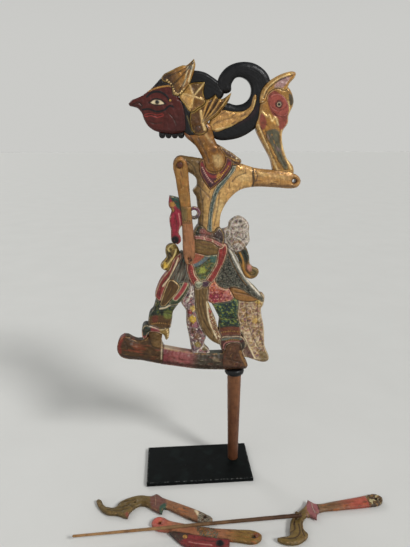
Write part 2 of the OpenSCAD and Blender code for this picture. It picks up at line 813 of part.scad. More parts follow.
module ear_star() {
    color("#94703a")
    difference() {
        carved(ear_star_line, ornament_half);
        scribe([diadem_line, face_line]);
    }
}

module ear_leaves() {
    color("#94703a")
    difference() {
        carved(ear_leaves_line, ornament_half);
        scribe([ear_star_line]);
    }
}

module hair_curl() {
    color("#1c1e20")
    difference() {
        difference() {
            carved(hair_curl_line, hair_half);
            scribe([neck_line, ear_leaves_line]);
        }
        scribe([bird_head_line, bird_ear_line, crescent_line]);
    }
}

module crescent() {
    color("#94703a")
    difference() {
        carved(crescent_line, hair_half + band_relief);
        scribe([ear_leaves_line, neck_line, bird_head_line]);
    }
}

// Bird head behind the shoulder
module bird_head() {
    color("#7d6a44")
    difference() {
        carved(bird_head_line, head_half);
        scribe([torso_line, bird_ear_line]);
        band(bird_cheek_line, head_half - band_seat, through);
        band(bird_beak_line, head_half - band_seat, through);
    }
}

module bird_ear() {
    color("#94703a")
    carved(bird_ear_line, head_half + band_relief);
}

module bird_cheek() {
    color("#96403a") {
        difference() {
            band(bird_cheek_line, head_half - band_seat, head_half + band_relief / 2);
            scribe([bird_ear_line]);
        }
        for (side = [-1, 1])
            across(bird_eye, bird_eye_diameter, side * (head_half + band_relief / 2) - band_relief / 4,
                side * (head_half + band_relief / 2) + band_relief / 4);
    }
}

module bird_beak() {
    color("#5d5f4a")
    band(bird_beak_line, head_half - band_seat, head_half + band_relief / 2);
}

// Hung arm
module near_upper_arm() {
    elbow = on_figure(near_elbow);
    color("#9a6a42")
    difference() {
        translate([0, -arm_middle, 0])
            carved(near_arm_line, arm_thickness / 2, arm_edge_drop);
        across(near_shoulder, peg_diameter + 2 * running_clearance, -through, 0);
        across(near_elbow, elbow_hole, -through, 0);
        translate([elbow.x - elbow_split / 2, -through, elbow.y - through])
            cube([elbow_split, through, through]);
    }
}

module near_armlet_wing() {
    color("#7a2b33")
    difference() {
        translate([0, -arm_middle, 0])
            carved(armlet_wing_line, arm_thickness / 2, arm_edge_drop);
        scribe([near_arm_line]);
    }
}

module near_armlet_ring() {
    color("#4e3d4f")
    difference() {
        across(armlet_ring_middle, armlet_ring_diameter, arm_edge_drop - arm_back - arm_thickness,
            -arm_back - arm_edge_drop);
        across(armlet_ring_middle, armlet_ring_bore, -through, 0);
        scribe([near_arm_line]);
    }
}

module shoulder_peg() {
    arm_front = arm_back + arm_thickness + side_clearance;
    color("#2c1a12") {
        across(near_shoulder, peg_diameter, -arm_front - peg_head / 2, body_half + peg_head / 2);
        across(near_shoulder, peg_head_diameter, -arm_front - peg_head, -arm_front);
        across(near_shoulder, peg_head_diameter, body_half, body_half + peg_head);
    }
}

// Pieces on the table
module near_forearm() {
    color("#8f6238")
    difference() {
        lying(near_forearm_line);
        table_hole(near_forearm_elbow, elbow_hole);
        table_hole(near_hand_hole, thread_diameter + 2 * running_clearance);
    }
}

module far_upper_arm() {
    color("#9a6a42")
    difference() {
        lying(far_arm_line);
        table_hole(far_arm_shoulder, peg_diameter + 2 * running_clearance);
        table_hole(far_arm_elbow, elbow_hole);
    }
}

module far_armlet_wing() {
    color("#7a2b33")
    difference() {
        lying(far_wing_line);
        translate([0, 0, -through / 2])
            linear_extrude(through)
                polygon(far_arm_line);
    }
}

module far_forearm() {
    color("#8f6238")
    difference() {
        lying(far_forearm_line);
        table_hole(far_forearm_elbow, elbow_hole);
        beyond(on_table([wrist_split, 0]).x, -1);
    }
}

module far_hand() {
    color("#7d6238")
    difference() {
        lying(far_forearm_line);
        table_hole(rod_tie, thread_diameter + 2 * running_clearance);
        beyond(on_table([wrist_split, 0]).x, 1);
    }
}

module control_rod() {
    tie = on_table(rod_tie);
    butt_r = rod_butt_diameter / 2;
    tip_r = rod_tip_diameter / 2;
    color("#5a4028")
    translate([tie.x, tie.y, rod_middle_z])
        difference() {
            rotate([0, 90, rod_angle])
                translate([0, 0, -rod_overhang])
                    cylinder(h = rod_overhang + rod_length, r1 = butt_r, r2 = tip_r, $fn = rod_flats);
            cylinder(h = through, d = thread_diameter + 2 * running_clearance, center = true);
        }
}

module rod_thread() {
    tie = on_table(rod_tie);
    top = rod_middle_z + rod_butt_diameter / 2;
    color("#c9b48a")
    translate([tie.x, tie.y, 0]) {
        translate([0, 0, side_clearance])
            cylinder(h = top + thread_knot / 4 - side_clearance, d = thread_diameter);
        translate([0, 0, top + running_clearance])
            cylinder(h = thread_knot / 2, d1 = thread_knot, d2 = thread_knot / 2);
    }
}

stand_plate();
stand_pin();
handle();
handle_collar();
base_bar();
rear_foot();
front_foot();
front_anklet();
rear_anklet();
front_shin();
front_knee();
knee_sash();
front_flap();
front_thigh();
hip_scroll();
rear_leg();
thigh_brocade();
skirt_panel();
skirt_lining();
trailing_cloth();
cloth_fan();
fan_tail();
middle_strip();
tail();
apron();
belly();
sash_right();
sash_left();
sash_knot();
belt();
torso();
far_shoulder_stub();
necklace();
shoulder_drape();
chest_sash();
neck();
face();
beard();
side_lock();
diadem();
hair_cap();
ear_star();
ear_leaves();
hair_curl();
crescent();
bird_head();
bird_ear();
bird_cheek();
bird_beak();
near_upper_arm();
near_armlet_wing();
near_armlet_ring();
shoulder_peg();
near_forearm();
far_upper_arm();
far_armlet_wing();
far_forearm();
far_hand();
control_rod();
rod_thread();
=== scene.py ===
"""Carved and painted wooden theatre puppet, dressed on a fixed frame.

The carving works in millimetres on the frame's own axes. Upright boards are drawn in X and Z and carved
along Y; pieces that lie on the table are drawn in X and Y and carved along Z.
"""

import json
import logging
import math
from collections.abc import Sequence
from dataclasses import dataclass, field
from enum import Enum

import bpy
import numpy as np
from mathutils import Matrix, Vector
from mathutils.geometry import delaunay_2d_cdt


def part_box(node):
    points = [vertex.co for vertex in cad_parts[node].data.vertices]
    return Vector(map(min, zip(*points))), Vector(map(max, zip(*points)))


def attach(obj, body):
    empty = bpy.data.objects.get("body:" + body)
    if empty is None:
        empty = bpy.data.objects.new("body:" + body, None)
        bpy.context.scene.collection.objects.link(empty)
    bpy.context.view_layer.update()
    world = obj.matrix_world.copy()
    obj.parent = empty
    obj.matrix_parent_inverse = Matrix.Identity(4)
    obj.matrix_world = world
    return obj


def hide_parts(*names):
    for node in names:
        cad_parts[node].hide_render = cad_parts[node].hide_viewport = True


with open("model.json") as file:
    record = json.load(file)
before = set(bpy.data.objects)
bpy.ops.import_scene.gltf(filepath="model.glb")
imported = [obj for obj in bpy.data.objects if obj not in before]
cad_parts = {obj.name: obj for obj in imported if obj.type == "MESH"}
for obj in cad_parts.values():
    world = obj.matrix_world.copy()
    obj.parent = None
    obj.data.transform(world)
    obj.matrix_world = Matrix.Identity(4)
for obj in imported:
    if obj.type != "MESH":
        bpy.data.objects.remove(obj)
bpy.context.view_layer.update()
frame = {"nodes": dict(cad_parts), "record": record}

LOG = logging.getLogger("puppet")
MM = 0.001
CHUNK = 1500
BODY_OF = {node: body for body, nodes in frame["record"]["behaviour"]["bodies"].items() for node in nodes}
Array = np.ndarray
Socket = bpy.types.NodeSocket
Piece = bpy.types.Object
Spot = tuple[float, float]
Place = tuple[float, float, float]
Path = Sequence[Spot]


@dataclass(frozen=True)
class Paint:
    """A paint as it is laid on: colour from 0 to 255 and its share of bronze powder."""

    red: int
    green: int
    blue: int
    gild: float = 0.0

    def light(self) -> Array:
        """Turns the paint into light.

        Returns:
            The colour as linear light, with the bronze share as a fourth value.
        """
        share = np.array((self.red, self.green, self.blue)) / 255
        linear = np.where(share < 0.04045, share / 12.92, ((share + 0.055) / 1.055) ** 2.4)
        return np.append(linear, self.gild)


GOLD = Paint(200, 150, 78, 0.85)
PALE_GOLD = Paint(246, 214, 150, 0.85)
OLIVE_GOLD = Paint(150, 124, 66, 0.55)
YELLOW = Paint(222, 188, 92, 0.5)
OCHRE = Paint(150, 110, 60, 0.2)
ORANGE = Paint(176, 104, 54, 0.15)
BROWN = Paint(92, 60, 38)
RED_BROWN = Paint(98, 50, 36)
DARK_BROWN = Paint(50, 33, 25)
BLACK = Paint(13, 14, 17)
BRICK = Paint(108, 40, 36)
RED = Paint(146, 52, 46)
MAGENTA = Paint(146, 46, 72)
PINK = Paint(196, 132, 122)
CREAM = Paint(218, 200, 164)
WHITE = Paint(226, 218, 202)
SILVER = Paint(158, 156, 146, 0.2)
GREY_GREEN = Paint(102, 110, 96)
DARK_GREEN = Paint(38, 52, 42)
GREEN = Paint(66, 92, 58)
LEAF = Paint(132, 142, 68)
TEAL = Paint(62, 100, 94)
BLUE_GREY = Paint(102, 116, 124)
MAUVE = Paint(132, 102, 116)
PURPLE = Paint(76, 50, 66)
OLIVE = Paint(108, 94, 56)
DARK_OLIVE = Paint(66, 60, 38)
BARE_WOOD = Paint(150, 116, 76)
GROUND = Paint(176, 158, 124)


class Plane(Enum):
    """The plane that a board is drawn in; the value is the axis that it is carved along."""

    UPRIGHT = 1
    LYING = 2

    @property
    def towards(self) -> int:
        """Returns the sign of the axis on the side that the viewer sees."""
        return -1 if self is Plane.UPRIGHT else 1

    def place(self, flat: Array, depth: Array) -> Array:
        """Puts drawn points into the frame.

        Args:
            flat: Drawn points, in millimetres.
            depth: Depth of each point towards the viewer, in millimetres.

        Returns:
            Points in metres on the frame's axes.
        """
        spots = np.zeros((len(flat), 3))
        spots[:, 0] = flat[:, 0]
        spots[:, 3 - self.value] = flat[:, 1]
        spots[:, self.value] = depth * self.towards
        return spots * MM


def unit(vectors: Array) -> Array:
    """Returns rows scaled to a length of one."""
    return vectors / np.maximum(np.linalg.norm(vectors, axis=-1, keepdims=True), 1e-9)


def hermite(a: Array, b: Array, ta: Array, tb: Array, t: Array) -> Array:
    """Draws a cubic.

    Args:
        a: Its start.
        b: Its end.
        ta: Tangent at the start.
        tb: Tangent at the end.
        t: Places along it, from 0 to 1.

    Returns:
        The points at those places.
    """
    t = t[:, None]
    return (a * (2 * t**3 - 3 * t**2 + 1) + ta * (t**3 - 2 * t**2 + t)
            + b * (3 * t**2 - 2 * t**3) + tb * (t**3 - t**2))


def trail(path: Path, closed: bool = False, steps: int = 6) -> Array:
    """Draws a smooth line through given points.

    Args:
        path: The points, in millimetres.
        closed: Whether the line returns to its start.
        steps: Points drawn for each span.

    Returns:
        Points along the line, with its first one again at the end where it is closed.
    """
    points = np.array(path, float)
    if len(points) < 3:
        return points
    before, after = np.roll(points, 1, 0), np.roll(points, -1, 0)
    if not closed:
        before[0], after[-1] = points[0], points[-1]
    lean = (after - before) / 2
    part = np.arange(steps) / steps
    spans = len(points) if closed else len(points) - 1
    drawn = [hermite(points[i], points[(i + 1) % len(points)], lean[i], lean[(i + 1) % len(points)], part)
             for i in range(spans)]
    return np.vstack(drawn + [points[:1] if closed else points[-1:]])


def distance(points: Array, starts: Array, ends: Array) -> Array:
    """Measures the shortest distance from each point to a set of straight pieces.

    Args:
        points: The points.
        starts: Starts of the pieces.
        ends: Ends of the pieces.

    Returns:
        One distance for each point.
    """
    best = np.empty(len(points))
    run = ends - starts
    size = np.maximum((run**2).sum(1), 1e-12)
    for low in range(0, len(points), CHUNK):
        away = points[low:low + CHUNK, None] - starts
        part = np.clip((away * run).sum(2) / size, 0, 1)
        best[low:low + CHUNK] = np.sqrt(((away - part[..., None] * run)**2).sum(2)).min(1)
    return best


def enclosed(points: Array, loops: list[Array]) -> Array:
    """Finds the points inside a set of closed loops, by the even and odd rule.

    Args:
        points: The points.
        loops: The loops.

    Returns:
        Whether each point lies inside.
    """
    starts = np.vstack(loops)
    ends = np.vstack([np.roll(loop, -1, 0) for loop in loops])
    rise = ends[:, 1] - starts[:, 1]
    slope = (ends[:, 0] - starts[:, 0]) / np.where(np.abs(rise) < 1e-9, 1e-9, rise)
    inside = np.empty(len(points), bool)
    for low in range(0, len(points), CHUNK):
        x, y = points[low:low + CHUNK, :1], points[low:low + CHUNK, 1:]
        passes = (starts[:, 1] > y) != (ends[:, 1] > y)
        inside[low:low + CHUNK] = (passes & (x < starts[:, 0] + (y - starts[:, 1]) * slope)).sum(1) % 2 == 1
    return inside


def smoothstep(values: Array) -> Array:
    """Returns values eased from 0 to 1."""
    held = np.clip(values, 0, 1)
    return held * held * (3 - 2 * held)


@dataclass
class Outline:
    """The outline of one CAD board, cut from the frame's mesh at one depth.

    The level is the depth of the cut on the carving axis, in millimetres; the corner is the turn, in
    radians, from which a point of the outline stays sharp.
    """

    STRAIGHT = 0.004

    node: str
    plane: Plane
    level: float
    corner: float = 0.72
    loops: list[Array] = field(default_factory=list)

    def __post_init__(self) -> None:
        """Cuts the mesh and chains the cut into loops."""
        for loop in self.chain(self.cuts()):
            straight = self.straightened(self.straightened(loop))
            if len(straight) > 2:
                self.loops.append(straight)
        for i, loop in enumerate(self.loops):
            others = self.loops[:i] + self.loops[i + 1:]
            hole = bool(others) and bool(enclosed(loop[:1], others)[0])
            after = np.roll(loop, -1, 0)
            area = (loop[:, 0] * after[:, 1] - after[:, 0] * loop[:, 1]).sum()
            if (area > 0) == hole:
                self.loops[i] = loop[::-1]

    def cuts(self) -> list[list[Spot]]:
        """Cuts the mesh with the level plane.

        Returns:
            The short straight pieces of the cut.
        """
        mesh = frame["nodes"][self.node].data
        mesh.calc_loop_triangles()
        places = np.empty(3 * len(mesh.vertices))
        mesh.vertices.foreach_get("co", places)
        corners = np.empty(3 * len(mesh.loop_triangles), np.int32)
        mesh.loop_triangles.foreach_get("vertices", corners)
        triangles = (places.reshape(-1, 3) / MM)[corners.reshape(-1, 3)]
        axis, flat = self.plane.value, 3 - self.plane.value
        above = triangles[:, :, axis] > self.level
        pieces = []
        for triangle, up in zip(triangles, above):
            if up.all() or not up.any():
                continue
            ends = []
            for i in range(3):
                a, b = sorted((tuple(triangle[i]), tuple(triangle[(i + 1) % 3])))
                if up[i] != up[(i + 1) % 3]:
                    part = (self.level - a[axis]) / (b[axis] - a[axis])
                    ends.append(tuple(round(a[k] + part * (b[k] - a[k]), 3) for k in (0, flat)))
            if ends[0] != ends[1]:
                pieces.append(ends)
        return pieces

    @staticmethod
    def chain(pieces: list[list[Spot]]) -> list[Array]:
        """Joins straight pieces end to end.

        Args:
            pieces: The pieces.

        Returns:
            The closed loops that they make.
        """
        links: dict[Spot, list[Spot]] = {}
        for a, b in pieces:
            links.setdefault(a, []).append(b)
            links.setdefault(b, []).append(a)
        loops = []
        while links:
            here = next(iter(links))
            loop = [here]
            while links.get(here):
                there = links[here].pop()
                if here in links.get(there, []):
                    links[there].remove(here)
                here = there
                loop.append(here)
            links = {place: near for place, near in links.items() if near}
            loops.append(np.array(loop[:-1]))
        return [loop for loop in loops if len(loop) > 2]

    @staticmethod
    def straightened(loop: Array) -> Array:
        """Drops the points of a loop that lie on a straight run.

        Args:
            loop: The loop.

        Returns:
            The loop without them.
        """
        before, after = np.roll(loop, 1, 0), np.roll(loop, -1, 0)
        a, b = loop - before, after - loop
        bend = np.abs(a[:, 0] * b[:, 1] - a[:, 1] * b[:, 0])
        return loop[bend > Outline.STRAIGHT * np.linalg.norm(after - before, axis=1)]

    def rings(self, step: float) -> list[Array]:
        """Redraws the loops smoothly.

        Args:
            step: Distance between points, in millimetres.

        Returns:
            One array of points for each loop.
        """
        drawn = []
        for loop in self.loops:
            after, before = np.roll(loop, -1, 0), np.roll(loop, 1, 0)
            out, into = unit(after - loop), unit(loop - before)
            sharp = np.arccos(np.clip((out * into).sum(1), -1, 1)) > self.corner
            lean = unit(after - before)
            ring = []
            for i in range(len(loop)):
                j = (i + 1) % len(loop)
                span = np.linalg.norm(loop[j] - loop[i])
                part = np.arange(max(1, round(span / step))) / max(1, round(span / step))
                ta = (out[i] if sharp[i] else lean[i]) * span
                tb = (into[j] if sharp[j] else lean[j]) * span
                ring.append(hermite(loop[i], loop[j], ta, tb, part))
            drawn.append(np.vstack(ring))
        return drawn


class OutlineBook:
    """Keeps the outline and thickness of every board, so that a board can look up its neighbours."""

    WALL_SHARE = 0.85
    EDGE_DROP = 3.0
    OFF_MIDDLE = 0.21
    BAND_CUT = 1.2
    PLATE_CUT = 0.8
    TURNED = {"handle", "handle_collar", "shoulder_peg", "stand_pin", "control_rod", "rod_thread"}
    BANDS = {"chest_sash", "bird_cheek", "bird_beak"}

    def __init__(self) -> None:
        """Starts with no outline drawn."""
        self.kept: dict[str, Outline] = {}

    @staticmethod
    def plane(node: str) -> Plane:
        """Returns the plane that a node is drawn in."""
        return Plane.UPRIGHT if BODY_OF[node] in ("figure", "near_arm") else Plane.LYING

    def depths(self, node: str) -> Spot:
        """Measures a node through its thickness.

        Args:
            node: The CAD node.

        Returns:
            Its middle, as a depth towards the viewer, and its half thickness.
        """
        low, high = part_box(node)
        axis = self.plane(node).value
        lows, highs = low[axis] / MM, high[axis] / MM
        if BODY_OF[node] == "figure":
            return 0.0, highs
        return self.plane(node).towards * (lows + highs) / 2, (highs - lows) / 2

    def outline(self, node: str) -> Outline:
        """Finds the outline of a node, cut where its side walls are straight.

        Args:
            node: The CAD node.

        Returns:
            Its outline.
        """
        if node not in self.kept:
            middle, half = self.depths(node)
            plane = self.plane(node)
            level = plane.towards * middle + self.OFF_MIDDLE
            if node in self.BANDS:
                level = -(half - self.BAND_CUT)
            elif BODY_OF[node] == "figure":
                level = self.WALL_SHARE * (half - self.EDGE_DROP)
            elif node == "stand_plate":
                level = self.PLATE_CUT
            self.kept[node] = Outline(node, plane, level)
        return self.kept[node]

    def neighbours(self, node: str) -> list[str]:
        """Returns the other boards on the same body, without bands and turned pieces."""
        same = [other for other, body in BODY_OF.items() if body == BODY_OF[node] and other != node]
        return [other for other in same if other not in self.TURNED | self.BANDS]


BOOK = OutlineBook()


@dataclass(frozen=True)
class Finish:
    """How a coat has kept: sheen, mottling, rubbing, dirt and painted shade in hollows, the wood beneath,
    knife dents.
    """

    name: str
    roughness: float = 0.5
    coat: float = 0.1
    mottle: float = 0.35
    wear: float = 0.6
    grime_and_shade: float = 0.8
    under: Paint = BARE_WOOD
    bump: float = 0.5
    shine: float = 0.28
    dent: float = 0.25
    grain: Place = (260.0, 260.0, 34.0)


ALONG_X = (34.0, 260.0, 260.0)
PAINTED = Finish("painted_wood", coat=0.05, wear=0.8, under=GROUND)
GILT = Finish("gilt_wood", roughness=0.34, coat=0.12, shine=0.4, mottle=0.5, wear=0.35, grime_and_shade=1.0,
              under=RED_BROWN, dent=0.3)
LACQUER = Finish("black_lacquer", roughness=0.4, coat=0.06, mottle=0.25, wear=0.4, grime_and_shade=0.3, under=BROWN,
                 dent=0.1)
BROCADE = Finish("brocade_paint", roughness=0.55, coat=0.02, mottle=0.45, wear=0.75, grime_and_shade=0.9, under=GROUND)
SKIN = Finish("skin_paint", roughness=0.42, coat=0.06, mottle=0.4, wear=0.45, grime_and_shade=0.9)
LAID_SKIN = Finish("loose_arm_paint", roughness=0.45, coat=0.05, mottle=0.45, wear=0.7, grime_and_shade=0.9, dent=0.2,
                   grain=ALONG_X)
LAID_PAINT = Finish("loose_wing_paint", dent=0.2, grain=ALONG_X)
SOLE = Finish("sole_paint", coat=0.03, mottle=0.5, wear=0.85, dent=0.5, grain=ALONG_X)
STEEL = Finish("black_plate", dent=0.0, coat=0.0, shine=0.09, mottle=0.5, wear=0.8, grime_and_shade=0.2,
               under=Paint(92, 92, 90), bump=0.25, grain=(90.0, 90.0, 90.0))
TURNED_WOOD = Finish("turned_wood", roughness=0.46, coat=0.06, mottle=0.5, wear=0.4, grime_and_shade=0.6,
                     under=Paint(140, 86, 52), grain=(420.0, 420.0, 20.0))
COLLAR = Finish("collar_paint", roughness=0.4, coat=0.08, mottle=0.3, wear=0.5, grime_and_shade=0.3, under=RED_BROWN)
ROD = Finish("rod_wood", roughness=0.6, coat=0.0, mottle=0.6, wear=0.5, grime_and_shade=0.7, under=Paint(170, 136, 92),
             grain=(16.0, 420.0, 420.0))
COTTON = Finish("cotton_thread", roughness=0.9, coat=0.0, mottle=0.4, wear=0.0, grime_and_shade=0.6,
                grain=(900.0, 900.0, 900.0))
PIN = Finish("pin_steel", roughness=0.35, coat=0.0, mottle=0.3, wear=0.2, grime_and_shade=0.2,
             under=Paint(150, 150, 150))


class Wiring:
    """A hand for adding and joining shader nodes in one tree."""

    def __init__(self, tree: bpy.types.NodeTree) -> None:
        """Works in the given tree."""
        self.tree = tree

    def add(self, kind: str, settings: dict | None = None, **inputs: object) -> bpy.types.Node:
        """Adds a node.

        Args:
            kind: The node's type name.
            settings: Properties of the node.
            inputs: Values or sockets for its inputs, with spaces written as underscores.

        Returns:
            The new node.
        """
        node = self.tree.nodes.new(kind)
        for name, value in (settings or {}).items():
            setattr(node, name, value)
        for name, value in inputs.items():
            self.put(node.inputs[name.replace("_", " ")], value)
        return node

    def put(self, socket: Socket, value: object) -> None:
        """Joins a socket to an input, or sets a plain value on it.

        Args:
            socket: The input.
            value: A socket or a plain value.
        """
        if isinstance(value, Socket):
            self.tree.links.new(value, socket)
        else:
            socket.default_value = value

    def math(self, operation: str, a: object, b: object = 0.0, clamp: bool = False) -> Socket:
        """Adds a sum on one or two values.

        Args:
            operation: The kind of sum.
            a: First value or socket.
            b: Second value or socket.
            clamp: Whether the result is held between 0 and 1.

        Returns:
            The result.
        """
        node = self.tree.nodes.new("ShaderNodeMath")
        node.operation = operation
        node.use_clamp = clamp
        self.put(node.inputs[0], a)
        self.put(node.inputs[1], b)
        return node.outputs[0]

    def times(self, a: object, b: object) -> Socket:
        """Returns the product of two values."""
        return self.math("MULTIPLY", a, b)

    def mix(self, share: object, a: object, b: object, blend: str = "MIX") -> Socket:
        """Adds a mix of two colours.

        Args:
            share: Share of the second colour.
            a: First colour.
            b: Second colour.
            blend: The kind of mix.

        Returns:
            The mixed colour.
        """
        node = self.tree.nodes.new("ShaderNodeMix")
        node.data_type = "RGBA"
        node.blend_type = blend
        self.put(node.inputs[0], share)
        self.put(node.inputs[6], a)
        self.put(node.inputs[7], b)
        return node.outputs[2]

    def ramp(self, value: object, low: float, high: float, to: Spot = (0.0, 1.0)) -> Socket:
        """Returns a value eased from one range to another."""
        node = self.add("ShaderNodeMapRange", {"interpolation_type": "SMOOTHSTEP"}, Value=value, From_Min=low,
                        From_Max=high, To_Min=to[0], To_Max=to[1])
        return node.outputs[0]

    def noise(self, where: object, scale: object, detail: float = 4.0, rough: float = 0.55) -> Socket:
        """Returns the value of a noise pattern."""
        return self.add("ShaderNodeTexNoise", None, Vector=where, Scale=scale, Detail=detail,
                        Roughness=rough).outputs["Fac"]

    def where(self) -> Socket:
        """Returns the place on the piece, in metres."""
        return self.add("ShaderNodeTexCoord").outputs["Object"]


class PaintShop:
    """Makes the shared effects as node groups, and one material for each finish."""

    KINDS = {"Color": "NodeSocketColor", "Under": "NodeSocketColor", "Stretch": "NodeSocketVector"}
    BUMP_HEIGHT = 0.0006
    COAT_ROUGHNESS = 0.35

    def __init__(self) -> None:
        """Makes the shared effects."""
        self.made: dict[str, bpy.types.Material] = {}
        self.effects = {"mottle": self.mottle(), "bronze": self.bronze(), "grime_and_shade": self.grime_and_shade(),
                        "wear": self.wear(), "grain": self.grain()}

    def group(self, name: str, takes: tuple[str, ...], gives: tuple[str, ...]) -> tuple[Wiring, dict, dict]:
        """Starts a node group.

        Args:
            name: The group's name.
            takes: Names of its inputs.
            gives: Names of its outputs.

        Returns:
            The wiring of the group, its input sockets by name and its output sockets by name.
        """
        tree = bpy.data.node_groups.new(name, "ShaderNodeTree")
        for side, labels in (("INPUT", takes), ("OUTPUT", gives)):
            for label in labels:
                tree.interface.new_socket(name=label, in_out=side,
                                          socket_type=self.KINDS.get(label, "NodeSocketFloat"))
        start, end = tree.nodes.new("NodeGroupInput"), tree.nodes.new("NodeGroupOutput")
        return Wiring(tree), {s.name: s for s in start.outputs}, {s.name: s for s in end.inputs}

    def mottle(self) -> bpy.types.NodeTree:
        """Wires paint laid unevenly by hand.

        Returns:
            The effect.
        """
        wire, takes, gives = self.group("hand_mottle", ("Color", "Amount"), ("Color", "Height"))
        where = wire.where()
        broad = wire.noise(where, 130.0, 3.0)
        fine = wire.noise(where, 620.0, 5.0, 0.65)
        both = wire.math("ADD", wire.times(broad, 0.6), wire.times(fine, 0.4))
        swing = wire.times(wire.math("SUBTRACT", both, 0.5), 3.4)
        value = wire.math("MULTIPLY_ADD", swing, takes["Amount"])
        value.node.inputs[2].default_value = 1.0
        warm = wire.times(wire.ramp(wire.noise(where, 75.0, 2.0), 0.45, 0.75), takes["Amount"])
        toned = wire.add("ShaderNodeHueSaturation", None, Value=value, Color=takes["Color"]).outputs[0]
        aged = wire.mix(warm, toned, (0.2, 0.13, 0.065, 1.0), "SOFT_LIGHT")
        wire.put(gives["Color"], aged)
        wire.put(gives["Height"], both)
        return wire.tree

    def bronze(self) -> bpy.types.NodeTree:
        """Wires bronze powder that has kept bright in places and gone brown in others, with painted glints.

        Returns:
            The effect.
        """
        wire, takes, gives = self.group("bronze_paint", ("Color", "Gild"), ("Color", "Metallic", "Dull"))
        where = wire.where()
        kept = wire.ramp(wire.noise(where, 150.0, 5.0, 0.62), 0.36, 0.62)
        spark = wire.ramp(wire.noise(where, 520.0, 3.0), 0.6, 0.72)
        brown = wire.mix(1.0, takes["Color"], (0.4, 0.3, 0.22, 1.0), "MULTIPLY")
        lost = wire.times(wire.math("SUBTRACT", 1.0, kept), takes["Gild"])
        body = wire.mix(wire.times(lost, 0.85), takes["Color"], brown)
        # painted glints: the spark specks turn the colour pale gold where the powder has kept
        lit = wire.times(wire.times(spark, kept), wire.times(takes["Gild"], 0.55))
        wire.put(gives["Color"], wire.mix(lit, body, (0.95, 0.74, 0.4, 1.0)))
        wire.put(gives["Metallic"], wire.times(wire.times(kept, takes["Gild"]), 0.9))
        wire.put(gives["Dull"], lost)
        return wire.tree

    def grime_and_shade(self) -> bpy.types.NodeTree:
        """Wires dirt in carved lines and joints, with painted shade darkening the same hollows.

        Returns:
            The effect.
        """
        wire, takes, gives = self.group("grime_and_painted_shade", ("Color", "Cavity", "Amount"), ("Color", "Mask"))
        patchy = wire.ramp(wire.noise(wire.where(), 240.0, 4.0), 0.25, 0.7, (0.45, 1.0))
        bent = wire.add("ShaderNodeVectorMath", {"operation": "ADD"})
        shift = wire.add("ShaderNodeTexNoise", None, Vector=wire.where(), Scale=420.0,
                         Detail=2.0).outputs["Color"]
        small = wire.add("ShaderNodeVectorMath", {"operation": "SCALE"}, Scale=0.004)
        wire.put(small.inputs[0], shift)
        wire.put(bent.inputs[0], wire.where())
        wire.put(bent.inputs[1], small.outputs[0])
        cells = wire.add("ShaderNodeTexVoronoi", {"feature": "DISTANCE_TO_EDGE"}, Vector=bent.outputs[0],
                         Scale=210.0)
        crazed = wire.ramp(cells.outputs["Distance"], 0.0, 0.035, (1.0, 0.0))
        aged = wire.times(crazed, wire.ramp(wire.noise(wire.where(), 60.0, 2.0), 0.5, 0.66, (0.0, 0.45)))
        # dirt and painted shade in hollows, from the cavity value; the crazed cells are aged cracks in the
        # paint
        dark_in_hollows = wire.math("MAXIMUM", wire.times(takes["Cavity"], patchy), aged)
        mask = wire.times(dark_in_hollows, takes["Amount"])
        wire.put(gives["Color"], wire.mix(mask, takes["Color"], (0.022, 0.014, 0.009, 1.0)))
        wire.put(gives["Mask"], mask)
        return wire.tree

    def wear(self) -> bpy.types.NodeTree:
        """Wires paint rubbed through on edges and high places.

        Returns:
            The effect.
        """
        wire, takes, gives = self.group("rubbed_edges", ("Color", "Under", "Rub", "Amount"),
                                        ("Color", "Mask"))
        broken = wire.noise(wire.where(), 330.0, 6.0, 0.68)
        push = wire.times(takes["Rub"], takes["Amount"])
        mask = wire.ramp(wire.math("ADD", wire.times(push, 0.42), broken), 0.78, 0.92)
        chips = wire.ramp(wire.noise(wire.where(), 210.0, 7.0, 0.72), 0.685, 0.72)
        both = wire.math("MAXIMUM", mask, wire.times(chips, takes["Amount"]))
        wire.put(gives["Color"], wire.mix(both, takes["Color"], takes["Under"]))
        wire.put(gives["Mask"], both)
        return wire.tree

    def grain(self) -> bpy.types.NodeTree:
        """Wires wood fibre under the paint, drawn out along one axis.

        Returns:
            The effect.
        """
        wire, takes, gives = self.group("wood_fibre", ("Stretch",), ("Value",))
        place = wire.add("ShaderNodeVectorMath", {"operation": "MULTIPLY"})
        wire.put(place.inputs[0], wire.where())
        wire.put(place.inputs[1], takes["Stretch"])
        wire.put(gives["Value"], wire.noise(place.outputs[0], 2.2, 5.0, 0.6))
        return wire.tree

    def use(self, wire: Wiring, name: str, **inputs: object) -> bpy.types.Node:
        """Uses one shared effect.

        Args:
            wire: Wiring of the material.
            name: Name of the effect.
            inputs: Values or sockets for its inputs.

        Returns:
            The node of the effect.
        """
        node = wire.tree.nodes.new("ShaderNodeGroup")
        node.node_tree = self.effects[name]
        for label, value in inputs.items():
            wire.put(node.inputs[label], value)
        return node

